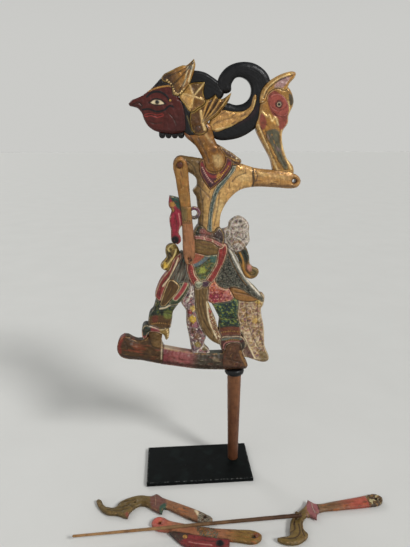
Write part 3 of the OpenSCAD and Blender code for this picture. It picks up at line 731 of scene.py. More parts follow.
    def material(self, finish: Finish) -> bpy.types.Material:
        """Makes the material of a finish, once.

        Args:
            finish: The finish to make.

        Returns:
            The material.
        """
        if finish.name in self.made:
            return self.made[finish.name]
        made = bpy.data.materials.new(finish.name)
        made.use_nodes = True
        shader = made.node_tree.nodes["Principled BSDF"]
        wire = Wiring(made.node_tree)
        laid = wire.add("ShaderNodeAttribute", {"attribute_name": "paint"})
        cavity = wire.add("ShaderNodeAttribute", {"attribute_name": "cavity"}).outputs["Fac"]
        rub = wire.add("ShaderNodeAttribute", {"attribute_name": "rub"}).outputs["Fac"]
        mottled = self.use(wire, "mottle", Color=laid.outputs["Color"], Amount=finish.mottle)
        bronzed = self.use(wire, "bronze", Color=mottled.outputs["Color"], Gild=laid.outputs["Alpha"])
        # darkens the hollows: dirt and painted shade
        grimed_and_shaded = self.use(wire, "grime_and_shade", Color=bronzed.outputs["Color"], Cavity=cavity, Amount=finish.grime_and_shade)
        under = tuple(finish.under.light()[:3]) + (1.0,)
        worn = self.use(wire, "wear", Color=grimed_and_shaded.outputs["Color"], Under=under, Rub=rub, Amount=finish.wear)
        fibre = self.use(wire, "grain", Stretch=finish.grain).outputs["Value"]
        shade = wire.ramp(fibre, 0.3, 0.75, (0.86, 1.1))
        grained = wire.add("ShaderNodeHueSaturation", None, Value=shade,
                           Color=worn.outputs["Color"]).outputs[0]
        marred = wire.math("MAXIMUM", worn.outputs["Mask"], grimed_and_shaded.outputs["Mask"])
        intact = wire.math("SUBTRACT", 1.0, marred)
        rough = wire.math("ADD", wire.times(mottled.outputs["Height"], 0.3), finish.roughness - 0.15)
        rougher = wire.math("ADD", rough, wire.times(bronzed.outputs["Dull"], 0.2), True)
        bared = wire.math("SUBTRACT", wire.times(fibre, 0.5), wire.times(worn.outputs["Mask"], 0.25))
        relief = wire.math("ADD", wire.times(mottled.outputs["Height"], 0.6), bared)
        bump = wire.add("ShaderNodeBump", None, Strength=finish.bump, Distance=self.BUMP_HEIGHT,
                        Height=relief)
        wire.put(shader.inputs["Base Color"], grained)
        wire.put(shader.inputs["Metallic"], wire.times(bronzed.outputs["Metallic"], intact))
        wire.put(shader.inputs["Roughness"], rougher)
        wire.put(shader.inputs["Normal"], bump.outputs[0])
        shader.inputs["Specular IOR Level"].default_value = finish.shine
        shader.inputs["Coat Weight"].default_value = finish.coat
        shader.inputs["Coat Roughness"].default_value = self.COAT_ROUGHNESS
        self.made[finish.name] = made
        return made


SHOP = PaintShop()


def finished(name: str, node: str, finish: Finish, places: Array, faces: list, marks: dict[str, Array],
             sharp: float = 50.0) -> Piece:
    """Makes a piece from its points and faces and puts it on the frame.

    Args:
        name: The piece's name.
        node: The CAD node that it stands in for.
        finish: Its finish.
        places: Points, in metres.
        faces: Corners of each face.
        marks: Values at each point: paint (four values), cavity and rub.
        sharp: Angle, in degrees, from which an edge is left sharp.

    Returns:
        The finished piece.
    """
    mesh = bpy.data.meshes.new(name)
    mesh.from_pydata(places.tolist(), [], faces)
    mesh.update()
    laid = mesh.attributes.new("paint", "FLOAT_COLOR", "POINT")
    laid.data.foreach_set("color", np.clip(marks["paint"], 0, 1).astype(np.float32).ravel())
    for label in ("cavity", "rub"):
        layer = mesh.attributes.new(label, "FLOAT", "POINT")
        layer.data.foreach_set("value", np.clip(marks[label], 0, 1).astype(np.float32))
    mesh.shade_smooth()
    mesh.set_sharp_from_angle(angle=math.radians(sharp))
    mesh.materials.append(SHOP.material(finish))
    piece = bpy.data.objects.new(name, mesh)
    bpy.context.scene.collection.objects.link(piece)
    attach(piece, BODY_OF[node])
    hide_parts(node)
    return piece


class Board:
    """One carved and painted board, from its outline to its finished piece.

    Lengths are in millimetres, and a share runs from 0 to 1. The carving and painting methods give the board
    back, so that they can follow each other on one line.
    """

    # Rounded edges (drop and run), point spacing, joints to neighbours, wear, dirt and painted shade, painted
    # patterns
    FIGURE_EDGE = (3.0, 3.5)
    ARM_EDGE = (1.2, 2.6)
    RING_INSETS = (0.45, 1.0, 1.7)
    RING_HOLD = 0.93
    GRID_INSET = 2.1
    ROW_SHARE = 0.866
    APART = 0.3
    WALL_PARTS = 4
    WALL_DIM = 0.7
    SCRIBE_DROP = 0.55
    SCRIBE_RUN = 0.9
    WIDE_DROP = 1.2
    FREE_STEP = 1.6
    PROBE = 0.5
    RUB_PLACE = 0.8
    RUB_REACH = 1.1
    JOINT_DIRT_AND_SHADE = 0.75
    JOINT_DIRT_AND_SHADE_REACH = 0.7
    WAVES = 26
    WAVE_LEVEL = 5.6
    STREAK_LENGTH = 7.0
    RIM_SEED = 97
    RIM_BREAKS = 11.0
    BEAD_PITCH = 2.25
    DAB_RISE = 0.16
    VINE_WIDTH = 0.26
    VINE_RISE = 0.2
    PROUD = 0.35
    DENT_SIZE = 8.0

    def __init__(self, node: str, finish: Finish, ground: Paint, grain: float = 0.6,
                 drop: float | None = None, run: float | None = None) -> None:
        """Draws the board and lays its ground colour.

        Args:
            node: The CAD node that it stands in for.
            finish: Its finish.
            ground: Colour of the ground coat.
            grain: Distance between carved points.
            drop: How far a free edge is rounded down.
            run: How far in from a free edge the rounding reaches.
        """
        self.node, self.finish, self.grain = node, finish, grain
        self.plane = BOOK.plane(node)
        self.middle, self.half = BOOK.depths(node)
        usual = self.FIGURE_EDGE if BODY_OF[node] == "figure" else self.ARM_EDGE
        self.drop = usual[0] if drop is None else drop
        self.run = usual[1] if run is None else run
        self.seat: float | None = None
        self.draw()
        self.round_edges()
        self.paint = np.tile(ground.light(), (len(self.flat), 1))

    def draw(self) -> None:
        """Spreads points over the outline and joins them into triangles."""
        rings = BOOK.outline(self.node).rings(self.grain)
        self.starts = np.vstack(rings)
        self.ends = np.vstack([np.roll(ring, -1, 0) for ring in rings])
        self.normals = unit((self.ends - self.starts)[:, ::-1] * (1, -1))
        lean = unit(self.ends - np.vstack([np.roll(ring, 1, 0) for ring in rings]))[:, ::-1] * (1, -1)
        low, high = self.starts.min(0), self.starts.max(0)
        grid = []
        for i, level in enumerate(np.arange(low[1], high[1], self.grain * self.ROW_SHARE)):
            row = np.arange(low[0] + (i % 2) * self.grain / 2, high[0], self.grain)
            grid.append(np.column_stack((row, np.full(len(row), level))))
        spread = [self.inside(np.vstack(grid), rings, self.GRID_INSET)]
        for inset in self.RING_INSETS:
            spread.append(self.inside(self.starts - lean * inset, rings, self.RING_HOLD * inset))
        inner = np.vstack(spread)
        cells = np.round(inner / self.APART).astype(int)
        inner = inner[np.sort(np.unique(cells, axis=0, return_index=True)[1])]
        points = np.vstack((self.starts, inner))
        bases = np.cumsum([0] + [len(ring) for ring in rings])
        joins = [(base + i, base + (i + 1) % len(ring))
                 for base, ring in zip(bases, rings) for i in range(len(ring))]
        made = delaunay_2d_cdt([Vector(p) for p in points], joins, [], 0, 1e-5)
        self.flat = np.array([tuple(p) for p in made[0]])
        triangles = np.array(made[2])
        self.triangles = triangles[enclosed(self.flat[triangles].mean(1), rings)]
        new = np.zeros(len(points), int)
        for index, olds in enumerate(made[3]):
            new[olds] = index
        self.rings = [new[base:base + len(ring)] for base, ring in zip(bases, rings)]

    def inside(self, points: Array, rings: list[Array], gap: float) -> Array:
        """Returns the points that lie inside the outline, further than a gap from it."""
        held = points[enclosed(points, rings)]
        return held[distance(held, self.starts, self.ends) > gap]

    def round_edges(self) -> None:
        """Rounds each edge down: far at a free edge, to a thinner neighbour, or to a scribed line."""
        probes = (self.starts + self.ends) / 2 + self.normals * self.PROBE
        drops, runs = np.full(len(probes), self.drop), np.full(len(probes), self.run)
        free = np.ones(len(probes), bool)
        for other in BOOK.neighbours(self.node):
            loops = BOOK.outline(other).loops
            low, high = np.vstack(loops).min(0), np.vstack(loops).max(0)
            near = ((probes > low) & (probes < high)).all(1)
            if not near.any():
                continue
            hit = np.zeros(len(probes), bool)
            hit[near] = enclosed(probes[near], loops)
            step = self.half - BOOK.depths(other)[1] + self.SCRIBE_DROP
            free[hit] = step > self.FREE_STEP
            drops[hit] = np.clip(step, self.SCRIBE_DROP, self.drop)
            narrow = self.SCRIBE_RUN + max(0.0, step - self.SCRIBE_DROP)
            runs[hit] = np.where(drops[hit] > self.WIDE_DROP, self.run, narrow)
        self.edge = distance(self.flat, self.starts, self.ends)
        lowered = np.zeros(len(self.flat))
        for drop, run in np.unique(np.column_stack((drops, runs)).round(2), axis=0):
            away = self.gap_to((np.abs(drops - drop) < 0.01) & (np.abs(runs - run) < 0.01))
            lowered = np.maximum(lowered, drop * np.clip(1 - away / run, 0, 1) ** 2)
        self.height = self.half - lowered
        self.rub = np.exp(-((self.gap_to(free) - self.RUB_PLACE) / self.RUB_REACH) ** 2)
        # dirt and painted shade along the joints to neighbours, through the cavity value
        self.cavity = self.JOINT_DIRT_AND_SHADE * np.exp(-((self.gap_to(~free) / self.JOINT_DIRT_AND_SHADE_REACH) ** 2))

    def gap_to(self, own: Array) -> Array:
        """Returns each point's distance to chosen pieces of the outline, or a great one if there are none."""
        return distance(self.flat, self.starts[own], self.ends[own]) if own.any() else self.edge + 99

    def lay(self, paint: Paint, share: Array) -> "Board":
        """Lays paint over the board by a share at each point."""
        self.paint += (paint.light() - self.paint) * np.clip(share, 0, 1)[:, None]
        return self

    def darken_cavity(self, share: Array) -> None:
        """Raises the cavity value by a share at each point; the material darkens it as dirt and painted
        shade.
        """
        self.cavity = np.maximum(self.cavity, share)

    def off(self, path: Path, closed: bool = False) -> Array:
        """Returns the distance from each point to a smooth line."""
        line = trail(path, closed)
        return distance(self.flat, line[:-1], line[1:])

    def away(self, place: Spot) -> Array:
        """Returns the distance from each point to a place."""
        return np.linalg.norm(self.flat - place, axis=1)

    def within(self, corners: Path, soft: float) -> Array:
        """Returns how far each point lies inside a rounded area, from 0 to 1."""
        gap = self.off(corners, True) * np.where(enclosed(self.flat, [trail(corners, True)]), 1, -1)
        return smoothstep(0.5 + gap / (2 * soft))

    def wander(self, seed: int, size: float, slant: float = 0.0, drawn: float = 1.0) -> Array:
        """Makes a smooth random value at each point.

        Args:
            seed: Seed of the pattern.
            size: Size of its swells.
            slant: Direction that the swells are drawn out in, in degrees.
            drawn: How many times longer than wide they are.

        Returns:
            Values from about -1 to 1.
        """
        rng = np.random.default_rng(seed)
        turn = rng.uniform(0, math.tau, self.WAVES)
        pace = math.tau / size * rng.uniform(0.4, 1.8, self.WAVES)
        along = np.array((math.cos(math.radians(slant)), math.sin(math.radians(slant))))
        u, v = self.flat @ along / drawn, self.flat @ (-along[1], along[0])
        waves = u[:, None] * (np.cos(turn) * pace) + v[:, None] * (np.sin(turn) * pace)
        return np.cos(waves + rng.uniform(0, math.tau, self.WAVES)).sum(1) / self.WAVE_LEVEL

    def groove(self, *paths: Path, depth: float = 0.6, width: float = 0.8, aside: float = 0.0) -> "Board":
        """Cuts lines into the face.

        Args:
            paths: The lines.
            depth: Depth of the cuts.
            width: Their width.
            aside: Distance to both sides of each line at which the cuts run instead.

        Returns:
            The board.
        """
        for path in paths:
            cut = np.exp(-((np.abs(self.off(path) - aside) / width) ** 2))
            self.height -= depth * cut
            # the cut's hollow is darkened as dirt and painted shade
            self.darken_cavity(cut * min(1.0, depth / 0.7))
        return self

    def ridge(self, paint: Paint, *paths: Path, rise: float = 0.4, width: float = 0.9) -> "Board":
        """Leaves painted lines standing on the face.

        Args:
            paint: Their paint.
            paths: The lines.
            rise: Their height.
            width: Their width.

        Returns:
            The board.
        """
        for path in paths:
            stand = np.exp(-((self.off(path) / width) ** 2))
            self.height += rise * stand
            self.rub = np.maximum(self.rub, 0.6 * stand)
            self.lay(paint, stand * 1.2)
        return self

    def stripe(self, paint: Paint, *paths: Path, width: float = 1.6, soft: float = 0.4,
               share: float = 1.0) -> "Board":
        """Paints lines on the face.

        Args:
            paint: Their paint.
            paths: The lines.
            width: Their width.
            soft: Softness of their edges.
            share: How much of the paint is laid.

        Returns:
            The board.
        """
        for path in paths:
            self.lay(paint, share * smoothstep((width / 2 + soft - self.off(path)) / (2 * soft)))
        return self

    def patch(self, corners: Path, paint: Paint, soft: float = 1.2, share: float = 1.0) -> "Board":
        """Paints a rounded area on the face."""
        return self.lay(paint, share * self.within(corners, soft))

    def fade(self, start: Spot, end: Spot, paint: Paint, share: float = 1.0) -> "Board":
        """Paints a colour that comes in from one place to another."""
        way = np.subtract(end, start)
        return self.lay(paint, share * smoothstep((self.flat - start) @ way / (way @ way)))

    def rim(self, paint: Paint, share: float = 0.5, inset: float = 0.9) -> "Board":
        """Paints a thin broken line along the whole outline."""
        kept = share * (0.35 + 0.65 * smoothstep((self.wander(self.RIM_SEED, self.RIM_BREAKS) + 0.55) / 0.7))
        return self.lay(paint, kept * smoothstep((0.85 - np.abs(self.edge - inset)) / 0.86))

    def spot(self, paint: Paint, *places: Spot, radius: float = 1.5, rise: float = 0.0) -> "Board":
        """Leaves round beads on the face, or paints dots where there is no rise.

        Args:
            paint: Their paint.
            places: Their middles.
            radius: Their radius.
            rise: Their height.

        Returns:
            The board.
        """
        for place in places:
            gap = self.away(place) / radius
            ring = np.exp(-(((gap - 1.1) / 0.22) ** 2)) * (rise > 0)
            self.height += rise * np.sqrt(np.clip(1 - gap**2, 0, 1)) - 0.25 * ring
            # the ring round each bead's foot is darkened as dirt and painted shade
            self.darken_cavity(ring)
            self.lay(paint, smoothstep((1.15 - gap) / 0.3))
        return self

    def beads(self, path: Path, radius: float, rise: float, paint: Paint) -> "Board":
        """Leaves a row of beads along a line.

        Args:
            path: The line.
            radius: Radius of the beads.
            rise: Their height.
            paint: Their paint.

        Returns:
            The board.
        """
        line = trail(path)
        steps = np.append(0, np.cumsum(np.linalg.norm(np.diff(line, axis=0), axis=1)))
        marks = np.arange(radius, steps[-1], self.BEAD_PITCH * radius)
        places = zip(*(np.interp(marks, steps, line[:, k]) for k in (0, 1)))
        return self.spot(paint, *places, radius=radius, rise=rise)

    @staticmethod
    def covering(swell: Array, share: float, soft: float) -> Array:
        """Returns the soft areas where a random value is highest, over about a share of the face."""
        return smoothstep((swell - 1.15 + 1.9 * share) / soft)

    def flecks(self, seed: int, paint: Paint, size: float = 3.0, share: float = 0.3) -> "Board":
        """Dabs irregular flecks of a paint over a share of the face."""
        return self.lay(paint, 0.75 * self.covering(self.wander(seed, size), share, 0.7))

    def streaks(self, seed: int, paint: Paint, slant: float, width: float = 2.4,
                share: float = 0.3) -> "Board":
        """Draws long soft streaks of a paint over a share of the face, in one direction."""
        swell = self.wander(seed, width, slant, self.STREAK_LENGTH)
        return self.lay(paint, 0.8 * self.covering(swell, share, 0.8))

    def brocade(self, seed: int, paints: list[Paint], size: float = 3.4, area: Path | None = None) -> "Board":
        """Lays a close, uneven pattern of paints, each dab outlined and lightly raised.

        Args:
            seed: Seed of the pattern.
            paints: The paints, in the order that they are laid.
            size: Size of the dabs.
            area: Outline of the area, or None for the whole face.

        Returns:
            The board.
        """
        held = np.ones(len(self.flat)) if area is None else self.within(area, 1.0)
        for step, paint in enumerate(paints):
            swell = self.wander(10 * seed + step, size * (0.85 + 0.2 * (step % 3)))
            dab = held * smoothstep((swell - 0.34) / 0.3)
            self.lay(paint, 0.88 * dab)
            self.height += self.DAB_RISE * dab
            self.darken_cavity(0.5 * held * np.exp(-(((swell - 0.36) / 0.13) ** 2)))
        return self

    def filigree(self, seed: int, paint: Paint, size: float, share: float) -> "Board":
        """Draws a close vine of thin, lightly raised curling lines over the face.

        Args:
            seed: Seed of the vine.
            paint: Its paint.
            size: Size of its curls.
            share: How much of the paint is laid.

        Returns:
            The board.
        """
        for step in range(2):
            line = np.exp(-((self.wander(seed + step, size) / self.VINE_WIDTH) ** 2))
            self.lay(paint, share * (1 - 0.4 * step) * line)
            self.height += self.VINE_RISE * line
        return self

    def dab(self, place: Spot, reach: float, paint: Paint) -> "Board":
        """Dabs one soft uneven spot of paint."""
        gap = self.away(place) / reach + 0.25 * self.wander(int(abs(place[0]) * 7), 3.0)
        return self.lay(paint, 0.9 * smoothstep((1.1 - gap) / 0.6))

    def facet(self, corners: Path, paint: Paint, slope: float) -> "Board":
        """Cuts one flat facet that falls from its first corner to the line between the others.

        Args:
            corners: Its three corners.
            paint: Its paint.
            slope: How far it falls.

        Returns:
            The board.
        """
        heart, first, second = (np.array(corner, float) for corner in corners)
        grid = np.column_stack((first - heart, second - heart))
        parts = np.linalg.solve(grid, (self.flat - heart).T).T
        inside = ((parts >= -0.02) & (parts <= 1.6)).all(1)
        self.height -= np.where(inside, slope * np.clip(parts.sum(1), 0, 1.2), 0)
        return self.lay(paint, 0.85 * inside)

    def band(self, thickness: float) -> "Board":
        """Makes the board a thin band let into both faces of the piece that carries it."""
        self.seat = self.half - thickness
        return self

    def marks(self, order: Array, dim: float = 1.0) -> dict[str, Array]:
        """Returns the values of chosen points, with paint and rubbing dimmed for walls."""
        return {"paint": self.paint[order] * dim, "cavity": self.cavity[order],
                "rub": self.rub[order] * (1.0 if dim == 1.0 else 0.6)}

    def make(self) -> Piece:
        """Dents the face as a knife does, unless it is a band, and builds both faces and the walls.

        Returns:
            The finished piece.
        """
        if self.seat is None:
            dents = self.wander(sum(map(ord, self.node)), self.DENT_SIZE) * smoothstep(self.edge / 2)
            self.height += self.finish.dent * dents
        self.height = np.minimum(self.height, self.half + self.PROUD)
        count = len(self.flat)
        front = self.middle + self.height
        back = self.middle - self.height if self.seat is None else np.full(count, self.seat)
        places = [self.plane.place(self.flat, front), self.plane.place(self.flat, back)]
        faces = self.triangles.tolist() + (self.triangles[:, ::-1] + count).tolist()
        marks = [self.marks(np.arange(count))] * 2
        base = 2 * count
        for ring in self.rings:
            levels = [ring]
            for share in np.arange(1, self.WALL_PARTS) / self.WALL_PARTS:
                depth = front[ring] * (1 - share) + back[ring] * share
                places.append(self.plane.place(self.flat[ring], depth))
                marks.append(self.marks(ring, self.WALL_DIM))
                levels.append(np.arange(base, base + len(ring)))
                base += len(ring)
            levels.append(ring + count)
            for upper, lower in zip(levels, levels[1:]):
                faces += np.column_stack((upper, lower, np.roll(lower, -1), np.roll(upper, -1))).tolist()
        if self.seat is not None:
            joined = np.vstack(places)
            faces += [[i + len(joined) for i in reversed(face)] for face in faces]
            places = [joined, joined * (1, -1, 1)]
            marks = marks * 2
        values = {label: np.concatenate([m[label] for m in marks]) for label in ("paint", "cavity", "rub")}
        return finished("carved_" + self.node, self.node, self.finish, np.vstack(places), faces, values)


@dataclass
class SubAssembly:
    """A group of pieces that is built and dressed together, by the methods whose names start with make."""

    made: list[Piece] = field(default_factory=list, init=False)

    def keep(self, piece: "Board | Turned") -> None:
        """Finishes a piece and keeps it."""
        self.made.append(piece.make())

    def build(self) -> list[Piece]:
        """Makes the pieces in the order in which the class gives them.

        Returns:
            The finished pieces.
        """
        for name, maker in vars(type(self)).items():
            if name.startswith("make_"):
                maker(self)
        return self.made


def sleeve(here: Array) -> list[list[int]]:
    """Joins the rings of a round piece.

    Args:
        here: Numbers of the points, one row for each ring.

    Returns:
        The corners of the faces between the rings.
    """
    after = np.roll(here, -1, 1)
    return np.stack((here[:-1], after[:-1], after[1:], here[1:]), -1).reshape(-1, 4).tolist()


@dataclass
class Turned:
    """A turned or drawn-out round piece: rings of points along an axis.

    The profile holds (radius, place along the axis) in millimetres; start is where the axis begins.
    """

    ASIDE = (0.31, 0.67, 0.2)
    SHARP = 40.0

    node: str
    finish: Finish
    ground: Paint
    profile: Path
    start: Place
    along: Place = (0.0, 0.0, 1.0)
    sides: int = 56
    uneven: float = 0.06
    far_end: Paint | None = None
    seed: int = 3

    def make(self) -> Piece:
        """Builds the closed round piece.

        Returns:
            The finished piece.
        """
        axis = np.array(self.along)
        side = unit(np.cross(axis, self.ASIDE))
        up = np.cross(axis, side)
        turn = np.arange(self.sides) * math.tau / self.sides
        rng = np.random.default_rng(self.seed)
        radii = np.array([row[0] for row in self.profile])
        runs = np.array([row[1] for row in self.profile])
        lobes = rng.uniform(-1, 1, (len(radii), 3))
        rings, paints, rubs, caves = [], [], [], []
        bend = np.gradient(np.gradient(radii))
        reach = max(np.ptp(runs), 1e-6)
        for i, (radius, run) in enumerate(self.profile):
            wave = sum(lobes[i, k] * np.cos((k + 2) * turn + k) for k in range(3)) / 3
            size = radius * (1 - self.uneven * 0.2 * (1 + wave) / 2)
            spot = np.array(self.start) + axis * run
            rings.append(spot + np.outer(size * np.cos(turn), side) + np.outer(size * np.sin(turn), up))
            tone = self.ground.light()
            if self.far_end:
                tone = tone + (self.far_end.light() - tone) * smoothstep((run - runs.min()) / reach)
            paints.append(np.tile(tone, (self.sides, 1)))
            rubs.append(np.full(self.sides, np.clip(-bend[i] * 4, 0, 1)))
            # hollows in the profile are darkened as dirt and painted shade
            caves.append(np.full(self.sides, np.clip(bend[i] * 4, 0, 1)))
        count = len(radii) * self.sides
        places = np.vstack(rings + [np.array([r.mean(0) for r in (rings[0], rings[-1])])]) * MM
        here = np.arange(count).reshape(-1, self.sides)
        faces = sleeve(here)
        faces += [[count, b, a] for a, b in zip(here[0].tolist(), np.roll(here[0], -1).tolist())]
        faces += [[count + 1, a, b] for a, b in zip(here[-1].tolist(), np.roll(here[-1], -1).tolist())]
        marks = {"paint": np.vstack(paints + [paints[0][:1], paints[-1][:1]]),
                 "cavity": np.concatenate(caves + [np.zeros(2)]), "rub": np.concatenate(rubs + [np.zeros(2)])}
        return finished("turned_" + self.node, self.node, self.finish, places, faces, marks, self.SHARP)


def eased(*stops: Spot, step: float = 1.2) -> list[Spot]:
    """Puts more rings between the stops of a profile, so that a long taper stays even.

    Args:
        stops: Radius and place of each stop.
        step: Distance between rings.

    Returns:
        Radius and place of each ring.
    """
    rows: list[Spot] = []
    for (r0, h0), (r1, h1) in zip(stops, stops[1:]):
        parts = max(1, round(math.hypot(r1 - r0, h1 - h0) / step))
        rows += [(r0 + (r1 - r0) * i / parts, h0 + (h1 - h0) * i / parts) for i in range(parts)]
    return rows + [stops[-1]]


@dataclass
class Stand(SubAssembly):
    """Black plate with its pin, and the turned handle with its ring collar; sizes in millimetres."""

    plate_edge: float = 0.5
    pin_radius: float = 2.5
    pin_low: float = 1.5
    pin_high: float = 45.0
    handle_low: float = 5.0
    handle_high: float = 132.0
    foot_radius: float = 6.75
    top_radius: float = 9.0
    tenon_radius: float = 4.5
    tenon_high: float = 154.0
    collar_radius: float = 12.5
    collar_high: float = 140.0

    def make_plate(self) -> None:
        """Makes the plate, with worn, lightly rounded edges."""
        plate = Board("stand_plate", STEEL, Paint(9, 13, 13), 2.4, self.plate_edge, 0.8)
        self.keep(plate.flecks(11, Paint(17, 24, 23), 26.0, 0.4).flecks(12, Paint(5, 7, 7), 14.0, 0.35))

    def make_pin(self) -> None:
        """Makes the steel pin that the handle turns on."""
        tip = self.pin_radius - 0.6
        rows = eased((self.pin_radius, self.pin_low), (self.pin_radius, self.pin_high - 0.8),
                     (tip, self.pin_high))
        self.keep(Turned("stand_pin", PIN, Paint(140, 142, 144), rows, (0, 0, 0), sides=32, uneven=0.0))

    def make_handle(self) -> None:
        """Makes the handle, with two light turning lines near each end."""
        low, high = self.handle_low, self.handle_high
        cuts = (low + 9, low + 12, high - 14, high - 11)
        rows = []
        for radius, run in eased((self.foot_radius - 0.6, low), (self.foot_radius, low + 0.7),
                                 (self.top_radius, high - 1.0), (self.top_radius - 0.4, high), step=1.0):
            cut = sum(math.exp(-((run - middle) / 0.9) ** 2) for middle in cuts)
            rows.append((radius - 0.22 * cut, run))
        rows += [(self.tenon_radius, high + 0.01), (self.tenon_radius, self.tenon_high)]
        self.keep(Turned("handle", TURNED_WOOD, Paint(90, 54, 33), rows, (0, 0, 0), uneven=0.05,
                         far_end=Paint(116, 74, 45)))

    def make_collar(self) -> None:
        """Makes the ring collar under the foot, rounded like a bead."""
        low, high, outer = self.handle_high, self.collar_high, self.collar_radius
        middle, bow = (low + high) / 2, (high - low) / 2
        turns = [math.radians(a) for a in range(-90, 91, 12)]
        rows = [(self.top_radius + 0.1, low)]
        rows += [(outer - 2.6 + 2.6 * math.cos(a), middle + bow * math.sin(a)) for a in turns]
        rows += [(self.top_radius + 0.1, high)]
        self.keep(Turned("handle_collar", COLLAR, Paint(13, 13, 14), rows, (0, 0, 0), uneven=0.04))


@dataclass
class Feet(SubAssembly):
    """Base bar, both feet and their anklets; sizes in millimetres."""

    log_drop: float = 5.0
    log_run: float = 9.5
    bead: float = 1.3
    ball: float = 4.4
    lie: float = -9.0

    def make_base_bar(self) -> None:
        """Makes the bar between the feet: dull red towards the front foot, olive grey behind."""
        bar = Board("base_bar", SOLE, Paint(66, 58, 46), 0.8, self.log_drop, self.log_run)
        bar.fade((-44, 158), (-62, 160), Paint(136, 76, 74))
        bar.fade((-76, 160), (-90, 164), Paint(100, 38, 44), 0.8)
        bar.streaks(21, RED_BROWN, self.lie, 3.2, 0.26)
        bar.streaks(22, Paint(140, 126, 104), self.lie, 2.4, 0.2)
        # painted highlight along the top of the bar: cream in front, grey green behind
        bar.stripe(CREAM, [(-88, 173), (-70, 169.5), (-54, 167)], width=2.4, soft=1.5, share=0.8)
        bar.stripe(GREY_GREEN, [(-54, 166), (-36, 164.5), (-20, 163)], width=2.0, soft=1.3, share=0.6)
        # painted shade along the underside of the bar
        bar.stripe(DARK_BROWN, [(-90, 155), (-66, 150.5), (-36, 147.5), (-18, 145)], width=4.6, soft=2.6,
                   share=0.8)
        bar.patch([(-30, 158), (-25, 159), (-21, 156), (-26, 154)], CREAM, 1.6, 0.25)
        self.keep(bar.groove([(-78, 160), (-56, 156), (-30, 153)], depth=0.35, width=1.0))

    def make_rear_foot(self) -> None:
        """Makes the foot that stands on the handle, streaked from ankle to sole."""
        foot = Board("rear_foot", SOLE, Paint(84, 56, 38), 0.8, self.log_drop, 7.0)
        foot.streaks(23, DARK_BROWN, 78, 3.0, 0.36).streaks(24, RED_BROWN, 70, 3.4, 0.3)
        foot.streaks(28, OCHRE, 74, 2.0, 0.16)
        foot.stripe(OCHRE, [(14, 146), (9, 155), (5, 166)], width=1.8, soft=0.9, share=0.7)
        # painted shade along the sole
        foot.stripe(DARK_BROWN, [(-16, 147), (-2, 145), (12, 143)], width=4.0, soft=2.2, share=0.75)
        self.keep(foot.groove([(-13, 158), (-2, 154), (10, 150)], depth=0.5, width=1.0))

    def make_front_foot(self) -> None:
        """Makes the raised front foot, golden brown with red streaks and a red-rimmed toe."""
        foot = Board("front_foot", SOLE, Paint(70, 48, 26), 0.8, self.log_drop, self.log_run)
        foot.streaks(25, Paint(118, 54, 34), self.lie, 3.4, 0.26)
        foot.streaks(26, DARK_BROWN, self.lie, 2.8, 0.26)
        foot.streaks(27, Paint(128, 94, 52), self.lie, 2.2, 0.24)
        foot.patch([(-104, 196), (-92, 196), (-92, 176), (-104, 178)], Paint(108, 82, 44), 3.0, 0.6)
        foot.stripe(Paint(134, 44, 38), [(-144, 170), (-144, 180), (-139, 190)], width=4.0, soft=2.0,
                    share=0.75)
        foot.patch([(-128, 180), (-116, 178), (-112, 173), (-124, 173)], Paint(140, 62, 40), 2.5, 0.4)
        # painted shade along the underside of the foot
        foot.stripe(DARK_BROWN, [(-140, 165), (-118, 159.5), (-96, 154)], width=4.0, soft=2.4, share=0.85)
        foot.stripe(CREAM, [(-91, 186), (-92, 176), (-93, 160)], width=1.4, soft=0.8, share=0.55)
        foot.groove([(-139, 188), (-135, 180), (-134, 170)], [(-108, 188), (-104, 178), (-95, 173)],
                    width=1.0)
        self.keep(foot)

    def make_front_anklet(self) -> None:
        """Makes the front anklet: green ball, red middle and a beaded pale end."""
        anklet = Board("front_anklet", PAINTED, Paint(118, 42, 44))
        anklet.patch([(-118, 192), (-114, 206), (-105, 205), (-107, 194)], DARK_GREEN)
        anklet.patch([(-94, 203), (-82, 203), (-80, 186), (-88, 185), (-93, 194)], OLIVE_GOLD)
        anklet.stripe(WHITE, [(-106, 203), (-98, 204.5), (-91, 203)], width=1.8, soft=0.8, share=0.75)
        anklet.stripe(PINK, [(-108, 192), (-98, 193.5), (-90, 191)], width=1.4, soft=0.6, share=0.85)
        anklet.stripe(PINK, [(-116, 197), (-115, 190), (-110, 187)], soft=0.6, share=0.85)
        anklet.spot(DARK_GREEN, (-111, 200.5), radius=self.ball, rise=0.7).flecks(29, BRICK, 3.0, 0.2)
        anklet.beads([(-88, 201), (-84.5, 196), (-84, 189)], self.bead, 0.5, PALE_GOLD)
        self.keep(anklet.rim(CREAM, 0.6).rim(DARK_BROWN, inset=2.2))

    def make_rear_anklet(self) -> None:
        """Makes the rear anklet: dark red with a grey-green top and a ball at the back."""
        anklet = Board("rear_anklet", PAINTED, Paint(72, 40, 36))
        anklet.stripe(GREY_GREEN, [(-17, 183), (-6, 184.5), (6, 183)], width=2.6, soft=0.8, share=0.9)
        anklet.spot(Paint(54, 50, 42), (9.5, 174), radius=self.ball, rise=0.6)
        anklet.stripe(PINK, [(-16, 171), (-14, 178), (-6, 180.5), (4, 180)], width=1.1, soft=0.6, share=0.7)
        anklet.beads([(-13, 181), (-5, 182.5), (4, 181.5)], 1.0, 0.45, OCHRE)
        self.keep(anklet.flecks(30, Paint(112, 58, 52), 3.4, 0.24).rim(CREAM).rim(DARK_BROWN, inset=2.2))


